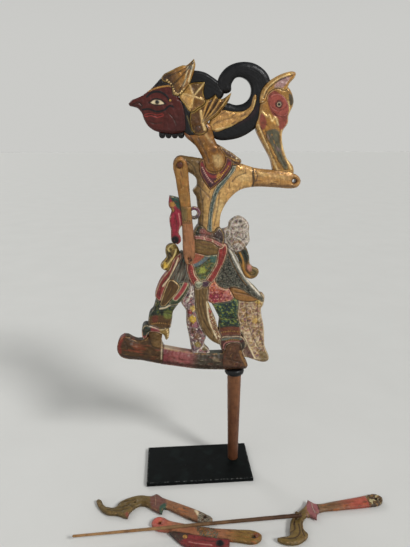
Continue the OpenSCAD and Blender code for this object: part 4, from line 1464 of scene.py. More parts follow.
@dataclass
class Legs(SubAssembly):
    """Both legs in patterned green cloth, and what is tied round the front one."""

    cuff_bead: float = 1.0
    fold: float = 0.7

    def make_front_shin(self) -> None:
        """Makes the front shin, dark green with leafy dabs, a pale tie line and a golden-brown cuff."""
        shin = Board("front_shin", BROCADE, Paint(36, 42, 32))
        shin.brocade(31, [GREEN, BLACK, Paint(84, 86, 38), Paint(42, 54, 46)], 5.0)
        shin.patch([(-104, 216), (-80, 214), (-80, 199), (-106, 200)], Paint(88, 62, 34), 1.4, 0.95)
        shin.patch([(-102, 216), (-96, 216), (-97, 208), (-102, 208)], BRICK, 1.4, 0.6)
        shin.patch([(-88, 221), (-79, 222), (-79, 214), (-87, 213)], LEAF, 2.0, 0.6)
        shin.beads([(-104, 206), (-94, 207), (-82, 205)], self.cuff_bead, 0.5, OCHRE)
        shin.ridge(CREAM, [(-69, 234.8), (-79, 230.6), (-86, 227), (-93, 225.5)], rise=0.6)
        shin.groove([(-99, 218), (-88, 220), (-78, 218)], [(-96, 240), (-93, 232), (-99, 224)],
                    depth=self.fold)
        self.keep(shin.rim(SILVER))

    def make_front_knee(self) -> None:
        """Makes the golden-brown fold over the knee, edged with pale gold."""
        knee = Board("front_knee", PAINTED, Paint(86, 62, 33), 0.65)
        knee.streaks(33, BROWN, 62, 2.6, 0.34).streaks(34, Paint(140, 106, 60), 62, 2.2, 0.2)
        knee.groove([(-77, 258), (-80, 246), (-87, 234)], depth=0.5, width=1.0)
        self.keep(knee.rim(PALE_GOLD, 0.75).rim(DARK_BROWN, inset=2.2))

    def make_knee_sash(self) -> None:
        """Makes the green fold behind the knee, with a narrow pale-edged red band along its back."""
        fold = Board("knee_sash", PAINTED, Paint(48, 58, 46)).brocade(35, [GREEN, DARK_OLIVE], 3.4)
        band = [(-59, 262), (-62, 255), (-67.5, 245.5), (-74, 238)]
        fold.stripe(CREAM, band, width=6.4, soft=0.5).stripe(Paint(152, 62, 64), band, width=4.6, soft=0.5)
        self.keep(fold.groove(band, depth=0.5, aside=2.7).rim(CREAM))

    def make_front_flap(self) -> None:
        """Makes the red flap along the front of the thigh, pale along its edges."""
        flap = Board("front_flap", PAINTED, Paint(126, 46, 44)).flecks(37, Paint(84, 34, 34), 6.0, 0.34)
        flap.streaks(32, PINK, 55, 2.0, 0.16)
        flap.groove([(-73, 286), (-80, 268), (-90, 255), (-94, 241)], depth=0.9)
        self.keep(flap.ridge(CREAM, [(-70, 288), (-75, 276), (-81, 264), (-89, 254)]).rim(CREAM, 0.65))

    def make_front_thigh(self) -> None:
        """Makes the front thigh, dark with streaks of grey and teal."""
        thigh = Board("front_thigh", BROCADE, Paint(90, 82, 70))
        thigh.streaks(38, BLACK, 74, 3.4, 0.36).streaks(39, Paint(136, 138, 124), 74, 2.6, 0.36)
        thigh.streaks(30, TEAL, 74, 3.0, 0.26).streaks(29, Paint(148, 112, 100), 70, 2.2, 0.14)
        thigh.groove([(-64, 290), (-68, 276), (-76, 262)], [(-60, 278), (-63, 266), (-70, 256)],
                     depth=self.fold)
        self.keep(thigh.rim(SILVER))

    def make_rear_leg(self) -> None:
        """Makes the rear leg, dark green with yellow-green dabs and a red-brown cuff."""
        leg = Board("rear_leg", BROCADE, Paint(34, 52, 42))
        leg.brocade(40, [GREEN, Paint(30, 44, 52), LEAF, Paint(54, 84, 74)], 6.0)
        leg.patch([(-17, 234), (-7, 234), (-8, 222), (-15, 222)], Paint(26, 38, 48), 3.0, 0.7)
        leg.flecks(41, Paint(150, 160, 72), 3.2, 0.2)
        leg.patch([(-22, 199), (6, 199), (8, 184), (-22, 184)], Paint(112, 60, 44), 1.4, 0.9)
        leg.stripe(DARK_GREEN, [(-21, 199), (-8, 200.5), (6, 199)], soft=0.6)
        leg.beads([(-19, 192), (-8, 193.5), (5, 192)], self.cuff_bead, 0.5, OCHRE)
        leg.groove([(-20, 208), (-10, 212), (2, 209)], [(-25, 222), (-20, 218), (-19, 212)],
                   depth=self.fold)
        self.keep(leg.rim(SILVER, 0.4))

    def make_thigh_brocade(self) -> None:
        """Makes the salmon and magenta cloth above the rear leg."""
        cloth = Board("thigh_brocade", BROCADE, Paint(180, 98, 72))
        cloth.fade((-22, 250), (-24, 240), Paint(140, 44, 62))
        cloth.fade((-20, 244), (-10, 240), Paint(176, 112, 110), 0.7)
        cloth.brocade(42, [Paint(196, 128, 92), BRICK, PINK], 5.0)
        cloth.spot(MAGENTA, (-25, 239.5), radius=3.0, rise=0.3).spot(PINK, (-25, 239.5), radius=1.1, rise=0.3)
        self.keep(cloth.rim(CREAM, 0.65))

    def make_hip_scroll(self) -> None:
        """Makes the curled scroll at the hip, olive gold with a cream curl."""
        scroll = Board("hip_scroll", PAINTED, Paint(110, 88, 46), 0.55).flecks(43, DARK_BROWN, 4.5, 0.34)
        scroll.patch([(-84, 296), (-78, 294), (-80, 286), (-85, 288)], DARK_OLIVE, 1.6, 0.8)
        scroll.patch([(-78, 288), (-72, 290), (-70, 282), (-77, 281)], Paint(116, 56, 52), 1.6, 0.7)
        scroll.groove([(-74, 300), (-79, 297), (-80, 292), (-77, 288), (-84, 280)], depth=1.0)
        scroll.ridge(Paint(232, 210, 140), [(-73, 304), (-78, 302.5), (-81.5, 299), (-80, 295.5)],
                     [(-72, 298), (-75, 290), (-82, 281), (-87, 275)], rise=0.7)
        scroll.dab((-85, 279), 4.0, Paint(206, 172, 70)).dab((-76, 300), 2.6, Paint(196, 168, 96))
        self.keep(scroll.rim(YELLOW, 0.6))


@dataclass
class Skirts(SubAssembly):
    """Cloth that hangs and trails behind the legs."""

    fold: float = 0.7

    def make_skirt_panel(self) -> None:
        """Makes the side panel, dark and mottled with a silver band along its back edge."""
        panel = Board("skirt_panel", BROCADE, Paint(82, 78, 68))
        panel.brocade(51, [Paint(116, 114, 98), BLACK, Paint(98, 98, 86), DARK_GREEN], 4.6)
        edge = [(-12, 303), (-6, 291), (-1.5, 282), (5.5, 269), (15.5, 255), (29, 239)]
        panel.stripe(Paint(132, 130, 118), edge, width=6.0, soft=1.4, share=0.8)
        panel.flecks(52, Paint(40, 42, 40), 2.8, 0.3)
        panel.ridge(WHITE, edge).flecks(48, Paint(196, 190, 174), 2.4, 0.1)
        panel.stripe(OCHRE, [(-15, 303), (-10, 290), (-5, 279), (2, 266), (12, 252)], width=1.0, share=0.7)
        panel.groove([(-12, 296), (-4, 277), (4, 261), (14, 248)], [(-18, 274), (-12, 264), (-6, 256)],
                     depth=self.fold)
        self.keep(panel.rim(CREAM, 0.45))

    def make_skirt_lining(self) -> None:
        """Makes the lining below the panel, ochre in folds that meet at its back end."""
        lining = Board("skirt_lining", PAINTED, Paint(146, 104, 58), 0.65).streaks(53, BROWN, -28, 2.6, 0.34)
        end = (28.5, 235)
        lining.groove([(-8, 250), (8, 246), end], [(-2, 243), (10, 240.5), end], depth=0.8)
        lining.ridge(OCHRE, [(-4, 247), (9, 243), end], [(2, 237), (14, 236), end])
        self.keep(lining.rim(DARK_BROWN))

    def make_trailing_cloth(self) -> None:
        """Makes the long patterned cloth that trails to the ground, with a dark corner behind a pale line."""
        cloth = Board("trailing_cloth", BROCADE, Paint(168, 140, 110))
        weave = [Paint(160, 98, 96), Paint(172, 144, 84), Paint(110, 80, 92), Paint(124, 96, 56)]
        cloth.brocade(54, weave, 5.4)
        cloth.streaks(55, Paint(190, 156, 92), 20, 3.4, 0.28).filigree(56, Paint(228, 208, 174), 15.0, 0.6)
        cloth.dab((28, 232), 6.0, Paint(208, 176, 88)).dab((24, 206), 5.0, Paint(196, 158, 84))
        cloth.flecks(50, Paint(128, 62, 66), 3.6, 0.2)
        cloth.patch([(4, 190), (9, 189), (24, 156), (12, 160), (4, 176)], Paint(84, 52, 54), 1.2, 0.75)
        cloth.patch([(30, 165), (42, 160), (44, 150), (34, 148)], OLIVE, 2.4, 0.65)
        cloth.groove([(12, 228), (14, 208), (19, 190), (30, 168)],
                     [(26, 232), (27, 214), (29, 194), (35, 172)])
        cloth.ridge(CREAM, [(5, 197), (9, 188), (16, 174), (25.5, 154)], rise=0.5)
        self.keep(cloth.rim(CREAM, 0.65).rim(BROWN, inset=2.4))

    def make_cloth_fan(self) -> None:
        """Makes the fan behind the waist, mottled silver, cream and mauve."""
        fan = Board("cloth_fan", BROCADE, Paint(160, 148, 138))
        weave = [Paint(112, 92, 102), SILVER, Paint(158, 114, 114), Paint(148, 140, 96), Paint(88, 80, 76)]
        fan.brocade(57, weave, 4.4).filigree(58, Paint(232, 220, 206), 12.0, 0.66)
        fan.stripe(OCHRE, [(-6, 303), (2, 306), (10, 298)], width=3.0, soft=1.6, share=0.5)
        fan.groove(*[[(-4, 297), tip] for tip in ((-17, 314), (-8, 320), (12, 314))])
        self.keep(fan.rim(Paint(60, 48, 44), 0.75).rim(WHITE, inset=2.2))

    def make_fan_tail(self) -> None:
        """Makes the fan's tail, dark green, which curls round to an olive ball."""
        tail = Board("fan_tail", BROCADE, Paint(48, 54, 46)).flecks(59, BLACK, 5.0, 0.3)
        tail.fade((9, 284), (12, 275), Paint(128, 96, 54, 0.4))
        tail.patch([(12, 277), (18, 276), (18, 270), (13, 271)], PINK, 2.0, 0.8)
        tail.patch([(19, 276), (26, 272), (25, 263), (19, 265)], OLIVE, 1.8, 0.85)
        tail.groove([(6, 296), (11, 284), (12, 271), (18, 264.5), (23, 267), (19, 271)], depth=0.8)
        self.keep(tail.ridge(GOLD, [(1, 297), (7, 284), (9, 271), (16, 262)]).rim(OCHRE, 0.6))

    def make_middle_strip(self) -> None:
        """Makes the strip that hangs between the legs, in uneven fields of changing colour."""
        strip = Board("middle_strip", BROCADE, Paint(140, 116, 118))
        strip.brocade(60, [WHITE, Paint(150, 90, 92), PURPLE], 5.4)
        strip.dab((-52.5, 224), 4.5, YELLOW).dab((-57, 219), 3.6, RED)
        strip.dab((-53.5, 210), 6.0, Paint(214, 178, 66, 0.3)).dab((-55, 203), 3.4, BRICK)
        strip.dab((-48.5, 202), 4.0, Paint(158, 104, 116)).dab((-53, 194.5), 4.6, BROWN)
        strip.dab((-48, 187), 5.4, Paint(118, 84, 58)).dab((-47.5, 176), 5.0, Paint(146, 128, 62))
        strip.dab((-38, 170), 4.6, OLIVE)
        strip.stripe(WHITE, [(-54, 252), (-56, 240), (-60, 232)], width=1.8, soft=0.7, share=0.8)
        strip.flecks(61, WHITE, 2.6, 0.14).flecks(62, DARK_BROWN, 3.0, 0.2)
        strip.groove([(-58, 250), (-60, 228), (-56, 204), (-50, 172)], [(-50, 234), (-49, 214), (-44, 186)])
        self.keep(strip.rim(WHITE, 0.55))

    def make_tail(self) -> None:
        """Makes the curved tail of cloth: plain olive brown, and a patterned edge towards the rear leg."""
        tail = Board("tail", PAINTED, Paint(108, 84, 50))
        tail.streaks(63, BROWN, -72, 3.0, 0.34).streaks(64, Paint(156, 126, 76), -72, 2.4, 0.22)
        zone = [(-36, 232), (-29, 230), (-22, 206), (-17, 184), (-24, 184), (-32, 204), (-35, 218)]
        tail.patch(zone, Paint(122, 84, 52), 1.2, 0.9)
        tail.brocade(65, [OCHRE, Paint(136, 66, 58), DARK_BROWN, CREAM], 3.0, zone)
        tail.dab((-32.5, 229), 3.6, YELLOW).dab((-31.5, 220), 3.0, RED)
        tail.ridge(CREAM, [(-36, 232), (-35, 218), (-32, 204), (-24, 185)])
        tail.groove([(-45, 250), (-45, 226), (-39, 206), (-27, 186)], [(-41, 250), (-41, 228), (-36, 208)])
        self.keep(tail.rim(CREAM))


@dataclass
class Waist(SubAssembly):
    """Belt, belly, apron, the two red sashes and their knot."""

    def make_belt(self) -> None:
        """Makes the belt, with dark flaps and a band of pink, brick and cream."""
        belt = Board("belt", PAINTED, Paint(92, 66, 50))
        belt.patch([(-52, 312), (-50, 322), (-43, 327), (-38, 319), (-44, 310)], DARK_GREEN, 1.5, 0.85)
        belt.patch([(-28, 322), (-23, 326), (-16, 318), (-18, 306), (-26, 310)], Paint(62, 52, 54), 1.5, 0.8)
        belt.patch([(-44, 322), (-34, 322), (-33, 315), (-42, 314)], Paint(150, 84, 82), 2.0, 0.7)
        band = [(-50, 313), (-40, 311.5), (-30, 308), (-18, 302)]
        belt.stripe(PINK, band, width=3.6, soft=1.0, share=0.8)
        belt.stripe(BRICK, band, width=1.2, soft=0.6, share=0.8)
        marks = [[(x, z + 1.8), (x + 1.6, z - 1.8)] for x, z in band[1:]]
        belt.stripe(CREAM, *marks, width=0.9, soft=0.5, share=0.7).flecks(66, WHITE, 2.6, 0.16)
        belt.groove([(-49, 317), (-38, 315.5), (-28, 313), (-18, 308)], depth=0.8)
        self.keep(belt.streaks(70, Paint(150, 118, 92), 68, 2.2, 0.26).rim(OLIVE_GOLD, 0.7))

    def make_belly(self) -> None:
        """Makes the bare belly below the belt, olive gold."""
        belly = Board("belly", GILT, Paint(126, 98, 54, 0.45)).streaks(67, BROWN, -12, 3.6, 0.34)
        self.keep(belly.groove([(-48, 304), (-38, 300), (-24, 297)], depth=0.4, width=1.2))

    def make_apron(self) -> None:
        """Makes the apron, in slanting fields of salmon, blue-grey, teal and green."""
        apron = Board("apron", BROCADE, Paint(108, 100, 60))
        apron.brocade(68, [GREEN, DARK_GREEN, Paint(82, 100, 80)], 5.0)
        apron.patch([(-58, 294), (-40, 291), (-46, 283), (-54, 277)], Paint(172, 92, 72), 1.6)
        apron.patch([(-33, 291), (-22, 290), (-25, 282), (-31, 283)], TEAL, 1.8, 0.8)
        apron.stripe(BLUE_GREY, [(-53, 278), (-45, 281), (-35, 289)], width=4.4, soft=1.2)
        apron.dab((-41, 272.5), 5.4, Paint(158, 164, 72)).flecks(69, LEAF, 3.0, 0.26)
        apron.groove([(-54, 275), (-44, 278), (-33, 287)], [(-50, 266), (-40, 267), (-32, 276)])
        self.keep(apron.rim(CREAM, 0.75))

    def sash(self, node: str, line: Path, seed: int) -> None:
        """Makes one red sash with thin pale edges.

        Args:
            node: The CAD node that it stands in for.
            line: The line cut along it.
            seed: Seed of its flecks.
        """
        sash = Board(node, PAINTED, Paint(148, 54, 50), 0.6).flecks(seed, Paint(104, 40, 38), 5.0, 0.34)
        sash.flecks(seed + 5, PINK, 3.0, 0.18).groove(line)
        self.keep(sash.rim(CREAM, 0.85).rim(DARK_BROWN, inset=2.4))

    def make_sashes(self) -> None:
        """Makes the two sashes."""
        self.sash("sash_right", [(-17, 300), (-19, 286), (-26, 270), (-34, 258)], 63)
        self.sash("sash_left", [(-57, 279), (-55, 267), (-48, 256)], 64)

    def make_sash_knot(self) -> None:
        """Makes the knot: a pale ball before a purple one."""
        knot = Board("sash_knot", PAINTED, PURPLE, 0.55)
        knot.patch([(-51, 256), (-46, 261), (-41.5, 256), (-46, 249)], Paint(150, 152, 128), 0.9)
        knot.groove([(-50, 256), (-46.5, 253.5), (-43, 256)], [(-41, 258), (-38, 254.5), (-34, 256)])
        self.keep(knot.rim(CREAM, 0.6))


@dataclass
class Body(SubAssembly):
    """Torso, far shoulder, necklace, shoulder drape, chest sash and neck."""

    muscle: float = 0.6
    bead: float = 1.0
    sash_depth: float = 3.2

    def make_torso(self) -> None:
        """Makes the gilt torso, with painted shade towards the front and painted highlights on its bright
        side.
        """
        torso = Board("torso", GILT, Paint(224, 180, 114, 0.8), 0.8, 4.0, 6.0)
        # painted shade: darker towards the front of the body and the near shoulder
        torso.fade((-31, 352), (-46, 352), Paint(104, 80, 44, 0.4), 0.9)
        torso.fade((-56, 398), (-72, 396), BROWN, 0.4)
        torso.streaks(71, BROWN, 82, 3.6, 0.3).streaks(74, DARK_BROWN, 74, 2.4, 0.14)
        # painted highlights: pale gold on the bright side and over the far shoulder
        torso.patch([(-24, 356), (-17, 350), (-22, 332), (-27, 338)], PALE_GOLD, 3.0, 0.75)
        torso.patch([(-4, 388), (12, 384), (12, 376), (0, 378)], PALE_GOLD, 3.0, 0.4)
        torso.groove([(-44, 366), (-41, 348), (-42, 326)], [(-22, 364), (-24, 346), (-28, 326)],
                     depth=self.muscle)
        torso.groove([(-48, 374), (-38, 364), (-33, 358)], [(-8, 376), (-2, 382), (8, 386)],
                     depth=self.muscle)
        self.keep(torso.groove([(-60, 400), (-52, 394), (-49, 386)], depth=self.muscle))

    def make_far_shoulder(self) -> None:
        """Makes the far shoulder stub, with the dark break where it meets the torso."""
        stub = Board("far_shoulder_stub", GILT, Paint(198, 152, 92, 0.75), 0.8, 4.0, 6.0)
        stub.streaks(75, BROWN, -8, 3.4, 0.3)
        stub.stripe(DARK_BROWN, [(15.5, 391), (16, 384), (17.5, 378), (16.5, 371)], soft=0.9)
        # painted highlight along the top of the stub, and painted shade along its underside
        stub.stripe(PALE_GOLD, [(24, 385), (40, 382.5), (56, 380)], width=3.0, soft=2.2, share=0.5)
        stub.stripe(BROWN, [(20, 372.5), (40, 371), (64, 370.5)], width=3.4, soft=2.2, share=0.8)
        stub.groove([(19, 388), (21, 382), (19, 376)], [(16, 390), (17, 380), (16, 371)], depth=0.8)
        self.keep(stub.spot(Paint(84, 44, 30), (65, 376.3), radius=3.2))

    def make_necklace(self) -> None:
        """Makes the breast ornament, dark maroon with rows of pale beads."""
        jewel = Board("necklace", PAINTED, Paint(84, 44, 48)).flecks(76, Paint(52, 34, 44), 4.0, 0.34)
        jewel.stripe(Paint(128, 50, 50), [(-42, 396), (-36, 385), (-27, 382), (-16, 388), (-11, 397)],
                     width=2.8, soft=0.8)
        jewel.beads([(-42, 393), (-38, 385), (-34, 379), (-30, 375)], self.bead, 0.6, Paint(188, 140, 128))
        jewel.beads([(-28, 376), (-22, 381), (-17, 387), (-11, 395)], self.bead, 0.6, GOLD)
        jewel.beads([(-38, 393), (-33, 387.5), (-27, 386), (-20, 390), (-16, 396)], 0.9, 0.5, OCHRE)
        jewel.dab((-23, 383), 3.6, GOLD).spot(Paint(62, 40, 46), (-32.5, 372.5), radius=2.0, rise=0.6)
        self.keep(jewel.rim(GOLD, 0.6))

    def make_drape(self) -> None:
        """Makes the drape over the shoulder, dark brown with gold and pale curls."""
        drape = Board("shoulder_drape", PAINTED, Paint(84, 56, 40)).flecks(77, DARK_BROWN, 4.0, 0.3)
        drape.groove([(-28, 414), (-16, 406), (-4, 400)], [(-26, 408), (-14, 401), (-4, 397)], depth=0.8)
        drape.ridge(GOLD, [(-24, 411), (-12, 403), (-1, 399)])
        drape.spot(CREAM, (-8, 398), (-11.5, 400.5), (-3, 402), radius=1.3, rise=0.5)
        self.keep(drape.flecks(72, CREAM, 3.0, 0.16).rim(GOLD, 0.6))

    def make_chest_sash(self) -> None:
        """Makes the sash across the chest, grey-green with pale edges."""
        sash = Board("chest_sash", BROCADE, Paint(78, 92, 84), 0.55, 0.8, 1.4).band(self.sash_depth)
        self.keep(sash.brocade(73, [BLUE_GREY, DARK_GREEN, GREY_GREEN], 2.8).rim(CREAM, 0.75))

    def make_neck(self) -> None:
        """Makes the neck, with warm brown painted shade under the jaw and painted highlights at its root."""
        neck = Board("neck", GILT, Paint(150, 104, 50, 0.7), 0.8, 4.0, 6.0)
        # painted shade: warm brown where the jaw overhangs the neck
        neck.fade((-46, 424), (-58, 432), Paint(130, 76, 44, 0.3), 0.8).streaks(78, BROWN, 118, 3.4, 0.28)
        # painted highlights: pale gold at the root of the neck and in a soft streak below the ear
        neck.patch([(-29, 404), (-21, 405), (-19, 396), (-25, 393)], PALE_GOLD, 3.0, 0.6)
        neck.dab((-29, 411), 3.0, BROWN)
        neck.stripe(PALE_GOLD, [(-39, 436), (-37, 427), (-32, 420)], width=2.0, soft=1.4, share=0.6)
        self.keep(neck.groove([(-44, 402), (-50, 417), (-56, 428)], [(-34, 398), (-39, 411), (-46, 424)]))


@dataclass
class Head(SubAssembly):
    """Face, beard and hair of the head, with the diadem and ear ornament.

    The face is a plain one in the usual manner of the theatre: a calm almond eye at half height, an arched
    brow, a small closed mouth and a thin moustache.
    """

    brow: Path = ((-101, 466.5), (-95, 471), (-87, 471.5), (-80, 467.5), (-77, 462.5))
    upper_lid: Path = ((-99, 460.5), (-93.5, 464.3), (-86.5, 463.8), (-81, 459.4))
    lower_lid: Path = ((-98, 460.2), (-90, 457.8), (-82, 459.2))
    eye_white: Path = ((-97, 460.6), (-92.5, 463.2), (-86.5, 462.8), (-82.8, 459.6), (-88, 458.9),
                       (-94, 459.2))
    moustache: Path = ((-106, 453.5), (-99, 454), (-91, 451.5), (-83, 453), (-77, 457.5), (-73, 456.5))
    mouth: Path = ((-103, 447.5), (-97, 448.4), (-91, 446.8), (-85, 448))
    pupil: float = 2.0
    strand: float = 0.14

    def make_face(self) -> None:
        """Makes the red face with its painted and lightly carved features."""
        face = Board("face", SKIN, Paint(78, 27, 21))
        face.fade((-76, 452), (-64, 440), Paint(58, 22, 21), 0.7).flecks(81, Paint(70, 26, 24), 9.0, 0.3)
        face.patch([(-100, 476), (-84, 490), (-70, 488), (-74, 478), (-86, 477)], BLACK, 1.4, 0.95)
        face.stripe(GOLD, [(-99, 472.5), (-88, 476), (-76, 477.5), (-68, 474)], width=1.3)
        face.groove([(-116, 458.5), (-110, 460.5), (-106.5, 457.5), (-108.5, 454.8)], depth=0.8)
        face.groove([(-78, 450), (-73, 445), (-70, 438)], [(-99, 441), (-93, 439), (-86, 440)], depth=0.5)
        face.patch(self.eye_white, CREAM, 0.5).spot(BLACK, (-90, 461.2), radius=self.pupil, rise=0.3)
        face.stripe(BLACK, self.upper_lid, width=1.3).stripe(BLACK, self.lower_lid, width=0.8)
        face.ridge(BLACK, self.brow, rise=0.35).stripe(BLACK, self.brow, width=1.9)
        face.stripe(BLACK, self.moustache, width=1.9)
        face.stripe(RED, self.mouth, width=3.2, soft=0.6).stripe(BLACK, self.mouth, width=0.9)
        face.groove(self.mouth, depth=0.5, width=0.6)
        self.keep(face.spot(GOLD, (-76, 463), radius=1.3, rise=0.3))

    def make_beard(self) -> None:
        """Makes the beard, with a ring cut in each curl."""
        beard = Board("beard", LACQUER, BLACK, 0.6, 1.4, 2.0)
        for x in (-85.5, -78.5, -71.5, -64.5):
            beard.spot(BLACK, (x, 427), radius=1.6, rise=0.5)
            beard.groove([(x - 3, 434), (x - 2.4, 427), (x, 424.6), (x + 2.4, 427), (x + 3, 434)], depth=0.5)
        self.keep(beard)

    def make_side_lock(self) -> None:
        """Makes the lock before the ear, with one olive streak."""
        lock = Board("side_lock", LACQUER, BLACK)
        lock.groove([(-66, 462), (-59, 452), (-56, 440), (-54, 431)], depth=0.4)
        self.keep(lock.stripe(OLIVE, [(-58, 447), (-55, 438), (-53, 431)], width=1.2, share=0.8))

    def make_diadem(self) -> None:
        """Makes the leaf-shaped diadem: ochre over the brow, bright gold in its upright leaf."""
        leaf = Board("diadem", GILT, Paint(192, 142, 74, 0.85))
        leaf.fade((-57, 488), (-77, 482), Paint(66, 40, 16, 0.3), 0.95).streaks(82, BROWN, 42, 2.8, 0.28)
        leaf.groove([(-82, 485.5), (-70, 490), (-60, 495), (-51, 503)],
                    [(-74, 478), (-66, 485), (-58, 493), (-52, 501)],
                    [(-67, 471), (-61, 481), (-56, 491), (-52, 499)], depth=0.9)
        # painted highlights: pale lines on two veins of the upright leaf, and a silver dab near its tip
        leaf.ridge(Paint(240, 222, 180, 0.6), [(-62, 478), (-59, 485), (-57, 497)],
                   [(-56, 482), (-53.5, 491), (-50.5, 502)], rise=0.6)
        leaf.dab((-54, 496), 3.4, SILVER).dab((-51.5, 501), 2.2, BROWN)
        leaf.beads([(-80, 484), (-74, 478), (-71, 471), (-66, 469.5), (-60, 476)], 1.2, 0.6, PALE_GOLD)
        self.keep(leaf.rim(YELLOW))

    def make_hair_cap(self) -> None:
        """Makes the black hair over the crown, with faint combing lines."""
        cap = Board("hair_cap", LACQUER, BLACK, 0.65)
        combed = [[(-56, 476 + k), (-44, 480 + 0.9 * k), (-32, 476 + 0.8 * k), (-22, 470 + 0.7 * k)]
                  for k in (0, 5, 10, 15)]
        self.keep(cap.groove(*combed, depth=self.strand, width=0.9))

    def make_ear_star(self) -> None:
        """Makes the ear ornament, cut in facets round a ridge, with painted light and shade on the facets."""
        star = Board("ear_star", GILT, GOLD, 0.55)
        heart, corners = (-51, 467), [(-63, 470), (-55, 479), (-39, 481), (-40.5, 464), (-53, 456)]
        # painted light and shade: one gold in lit and shaded copies, one for each facet
        shades = (Paint(190, 146, 80, 0.85), Paint(70, 46, 23, 0.6), Paint(92, 62, 30, 0.7),
                  Paint(118, 82, 40, 0.7), Paint(228, 188, 122, 0.85))
        for first, second, shade in zip(corners, corners[1:] + corners[:1], shades):
            star.facet((heart, first, second), shade, 0.8)
        star.ridge(PALE_GOLD, *[[heart, corner] for corner in corners], rise=0.8, width=0.8)
        self.keep(star.rim(YELLOW, 0.6))

    def make_ear_leaves(self) -> None:
        """Makes the fan of pointed leaves behind the ear ornament."""
        leaves = Board("ear_leaves", GILT, Paint(102, 68, 32, 0.7), 0.55)
        root = (-42, 440)
        blades = [[root, (-39, 453), (-35, 463)], [root, (-34, 454), (-27, 467)],
                  [root, (-30, 452), (-20.5, 466)], [root, (-25, 452), (-11, 470)]]
        leaves.ridge(Paint(214, 172, 104, 0.85), *blades, rise=0.8)
        leaves.groove([root, (-36, 454), (-31, 464)], [root, (-31, 453), (-24, 465)],
                      [root, (-27, 451), (-17, 464)], depth=0.9)
        leaves.ridge(PALE_GOLD, [(-43, 452), (-42, 444), (-39, 433)], rise=0.7, width=1.2)
        self.keep(leaves.spot(BROWN, (-46, 434), radius=2.6, rise=0.5).rim(YELLOW, 0.6))

    def make_hair_curl(self) -> None:
        """Makes the great curl of hair, faintly combed along its bend."""
        curl = Board("hair_curl", LACQUER, BLACK, 0.75, 3.6, 6.0)
        bend = [(-28, 430), (-10, 429), (6, 433), (19, 445), (26, 460), (27, 474), (21, 487), (8, 494),
                (-5, 492), (-14, 486), (-17, 478)]
        curl.stripe(Paint(46, 26, 32), [(-4, 440), (10, 446), (19, 456)], width=4.0, soft=3.0, share=0.7)
        for aside in (0.0, 2.6, 5.0):
            curl.groove(bend, depth=self.strand, width=0.9, aside=aside)
        self.keep(curl)

    def make_crescent(self) -> None:
        """Makes the gold crescent that holds the curl, bright along its lower rim."""
        moon = Board("crescent", GILT, Paint(216, 166, 98, 0.8))
        moon.streaks(83, BROWN, 30, 3.4, 0.36).streaks(84, Paint(206, 160, 96, 0.8), 30, 2.6, 0.24)
        moon.groove([(-29, 438), (-14, 444), (0, 447), (11, 455), (16, 466)], depth=0.4, width=1.2)
        moon.ridge(PALE_GOLD, [(-26, 433), (-14, 435), (-2, 438), (8, 445), (14, 452), (16.5, 463)],
                   rise=0.5)
        self.keep(moon.rim(YELLOW))


@dataclass
class BirdHead(SubAssembly):
    """The bird's head that looks back from the shoulder."""

    cheek_depth: float = 2.7
    eye: Spot = (43.0, 459.5)
    eye_radius: float = 3.4

    def make_head(self) -> None:
        """Makes the head and neck: gilt, red round the cheek, with a toothed gold edge to the red."""
        head = Board("bird_head", GILT, Paint(186, 140, 74, 0.75))
        red = Paint(134, 58, 50)
        head.patch([(29, 474), (35, 475), (46, 469), (51, 460), (55, 446), (53.5, 437), (47.6, 431),
                    (43, 437), (43, 444), (36, 449), (31, 460)], red, 1.0, 0.95)
        head.patch([(22, 447), (26, 450), (30, 441), (28, 434), (23.5, 434)], red, 1.0, 0.9)
        head.patch([(54, 471), (61, 466), (59, 458), (54, 461)], Paint(34, 40, 36), 1.2, 0.9)
        head.stripe(PALE_GOLD, [(53, 462), (55, 453), (56.5, 445)], width=2.6, soft=0.8)
        head.ridge(PALE_GOLD, [(25, 452), (30, 447), (33, 448.5), (36, 442), (39.5, 446), (43, 438)],
                   [(20.5, 438), (29, 420), (38, 402), (45, 386)],
                   [(47.5, 432), (49, 415), (54, 402), (60, 390)], rise=0.5)
        head.groove([(23, 436), (31, 419), (40, 401), (46, 390)], depth=0.5).flecks(90, BROWN, 5.0, 0.24)
        self.keep(head.rim(PALE_GOLD, 0.6))

    def make_ear(self) -> None:
        """Makes the ear, with a bright rim and a pinkish-silver hollow."""
        ear = Board("bird_ear", GILT, GOLD, 0.55)
        ear.patch([(37, 479), (47, 488), (54, 487), (47, 477), (40, 475)], Paint(164, 128, 130), 1.4, 0.9)
        ear.flecks(95, WHITE, 3.0, 0.14).groove([(26, 466), (31, 476), (43, 484.5), (56, 489)], depth=0.9)
        ear.ridge(PALE_GOLD, [(25, 466), (29, 475), (40, 485), (56, 491.5)])
        self.keep(ear.rim(PALE_GOLD, 0.7))

    def make_cheek(self) -> None:
        """Makes the red cheek with its ringed eye."""
        cheek = Board("bird_cheek", PAINTED, Paint(156, 78, 66), 0.55, 0.9, 1.6).band(self.cheek_depth)
        cheek.flecks(91, Paint(124, 56, 48), 4.0, 0.4)
        cheek.spot(Paint(84, 36, 34), self.eye, radius=self.eye_radius, rise=0.3)
        cheek.spot(CREAM, self.eye, radius=2.3).spot(BLACK, self.eye, radius=1.5, rise=0.2)
        self.keep(cheek.groove([(36, 456), (43, 453), (51, 456)], depth=0.4).rim(PINK))

    def make_beak(self) -> None:
        """Makes the long inlay down the neck, mottled olive grey and mauve."""
        beak = Board("bird_beak", BROCADE, Paint(94, 90, 72), 0.55, 0.8, 1.4).band(self.cheek_depth)
        beak.streaks(92, DARK_OLIVE, -68, 3.4, 0.4).streaks(93, Paint(128, 104, 100), -68, 2.6, 0.26)
        beak.streaks(94, Paint(140, 124, 72), -68, 2.2, 0.22)
        self.keep(beak.groove([(36, 428), (42, 412), (53, 393)], depth=0.4).rim(OCHRE, 0.7))


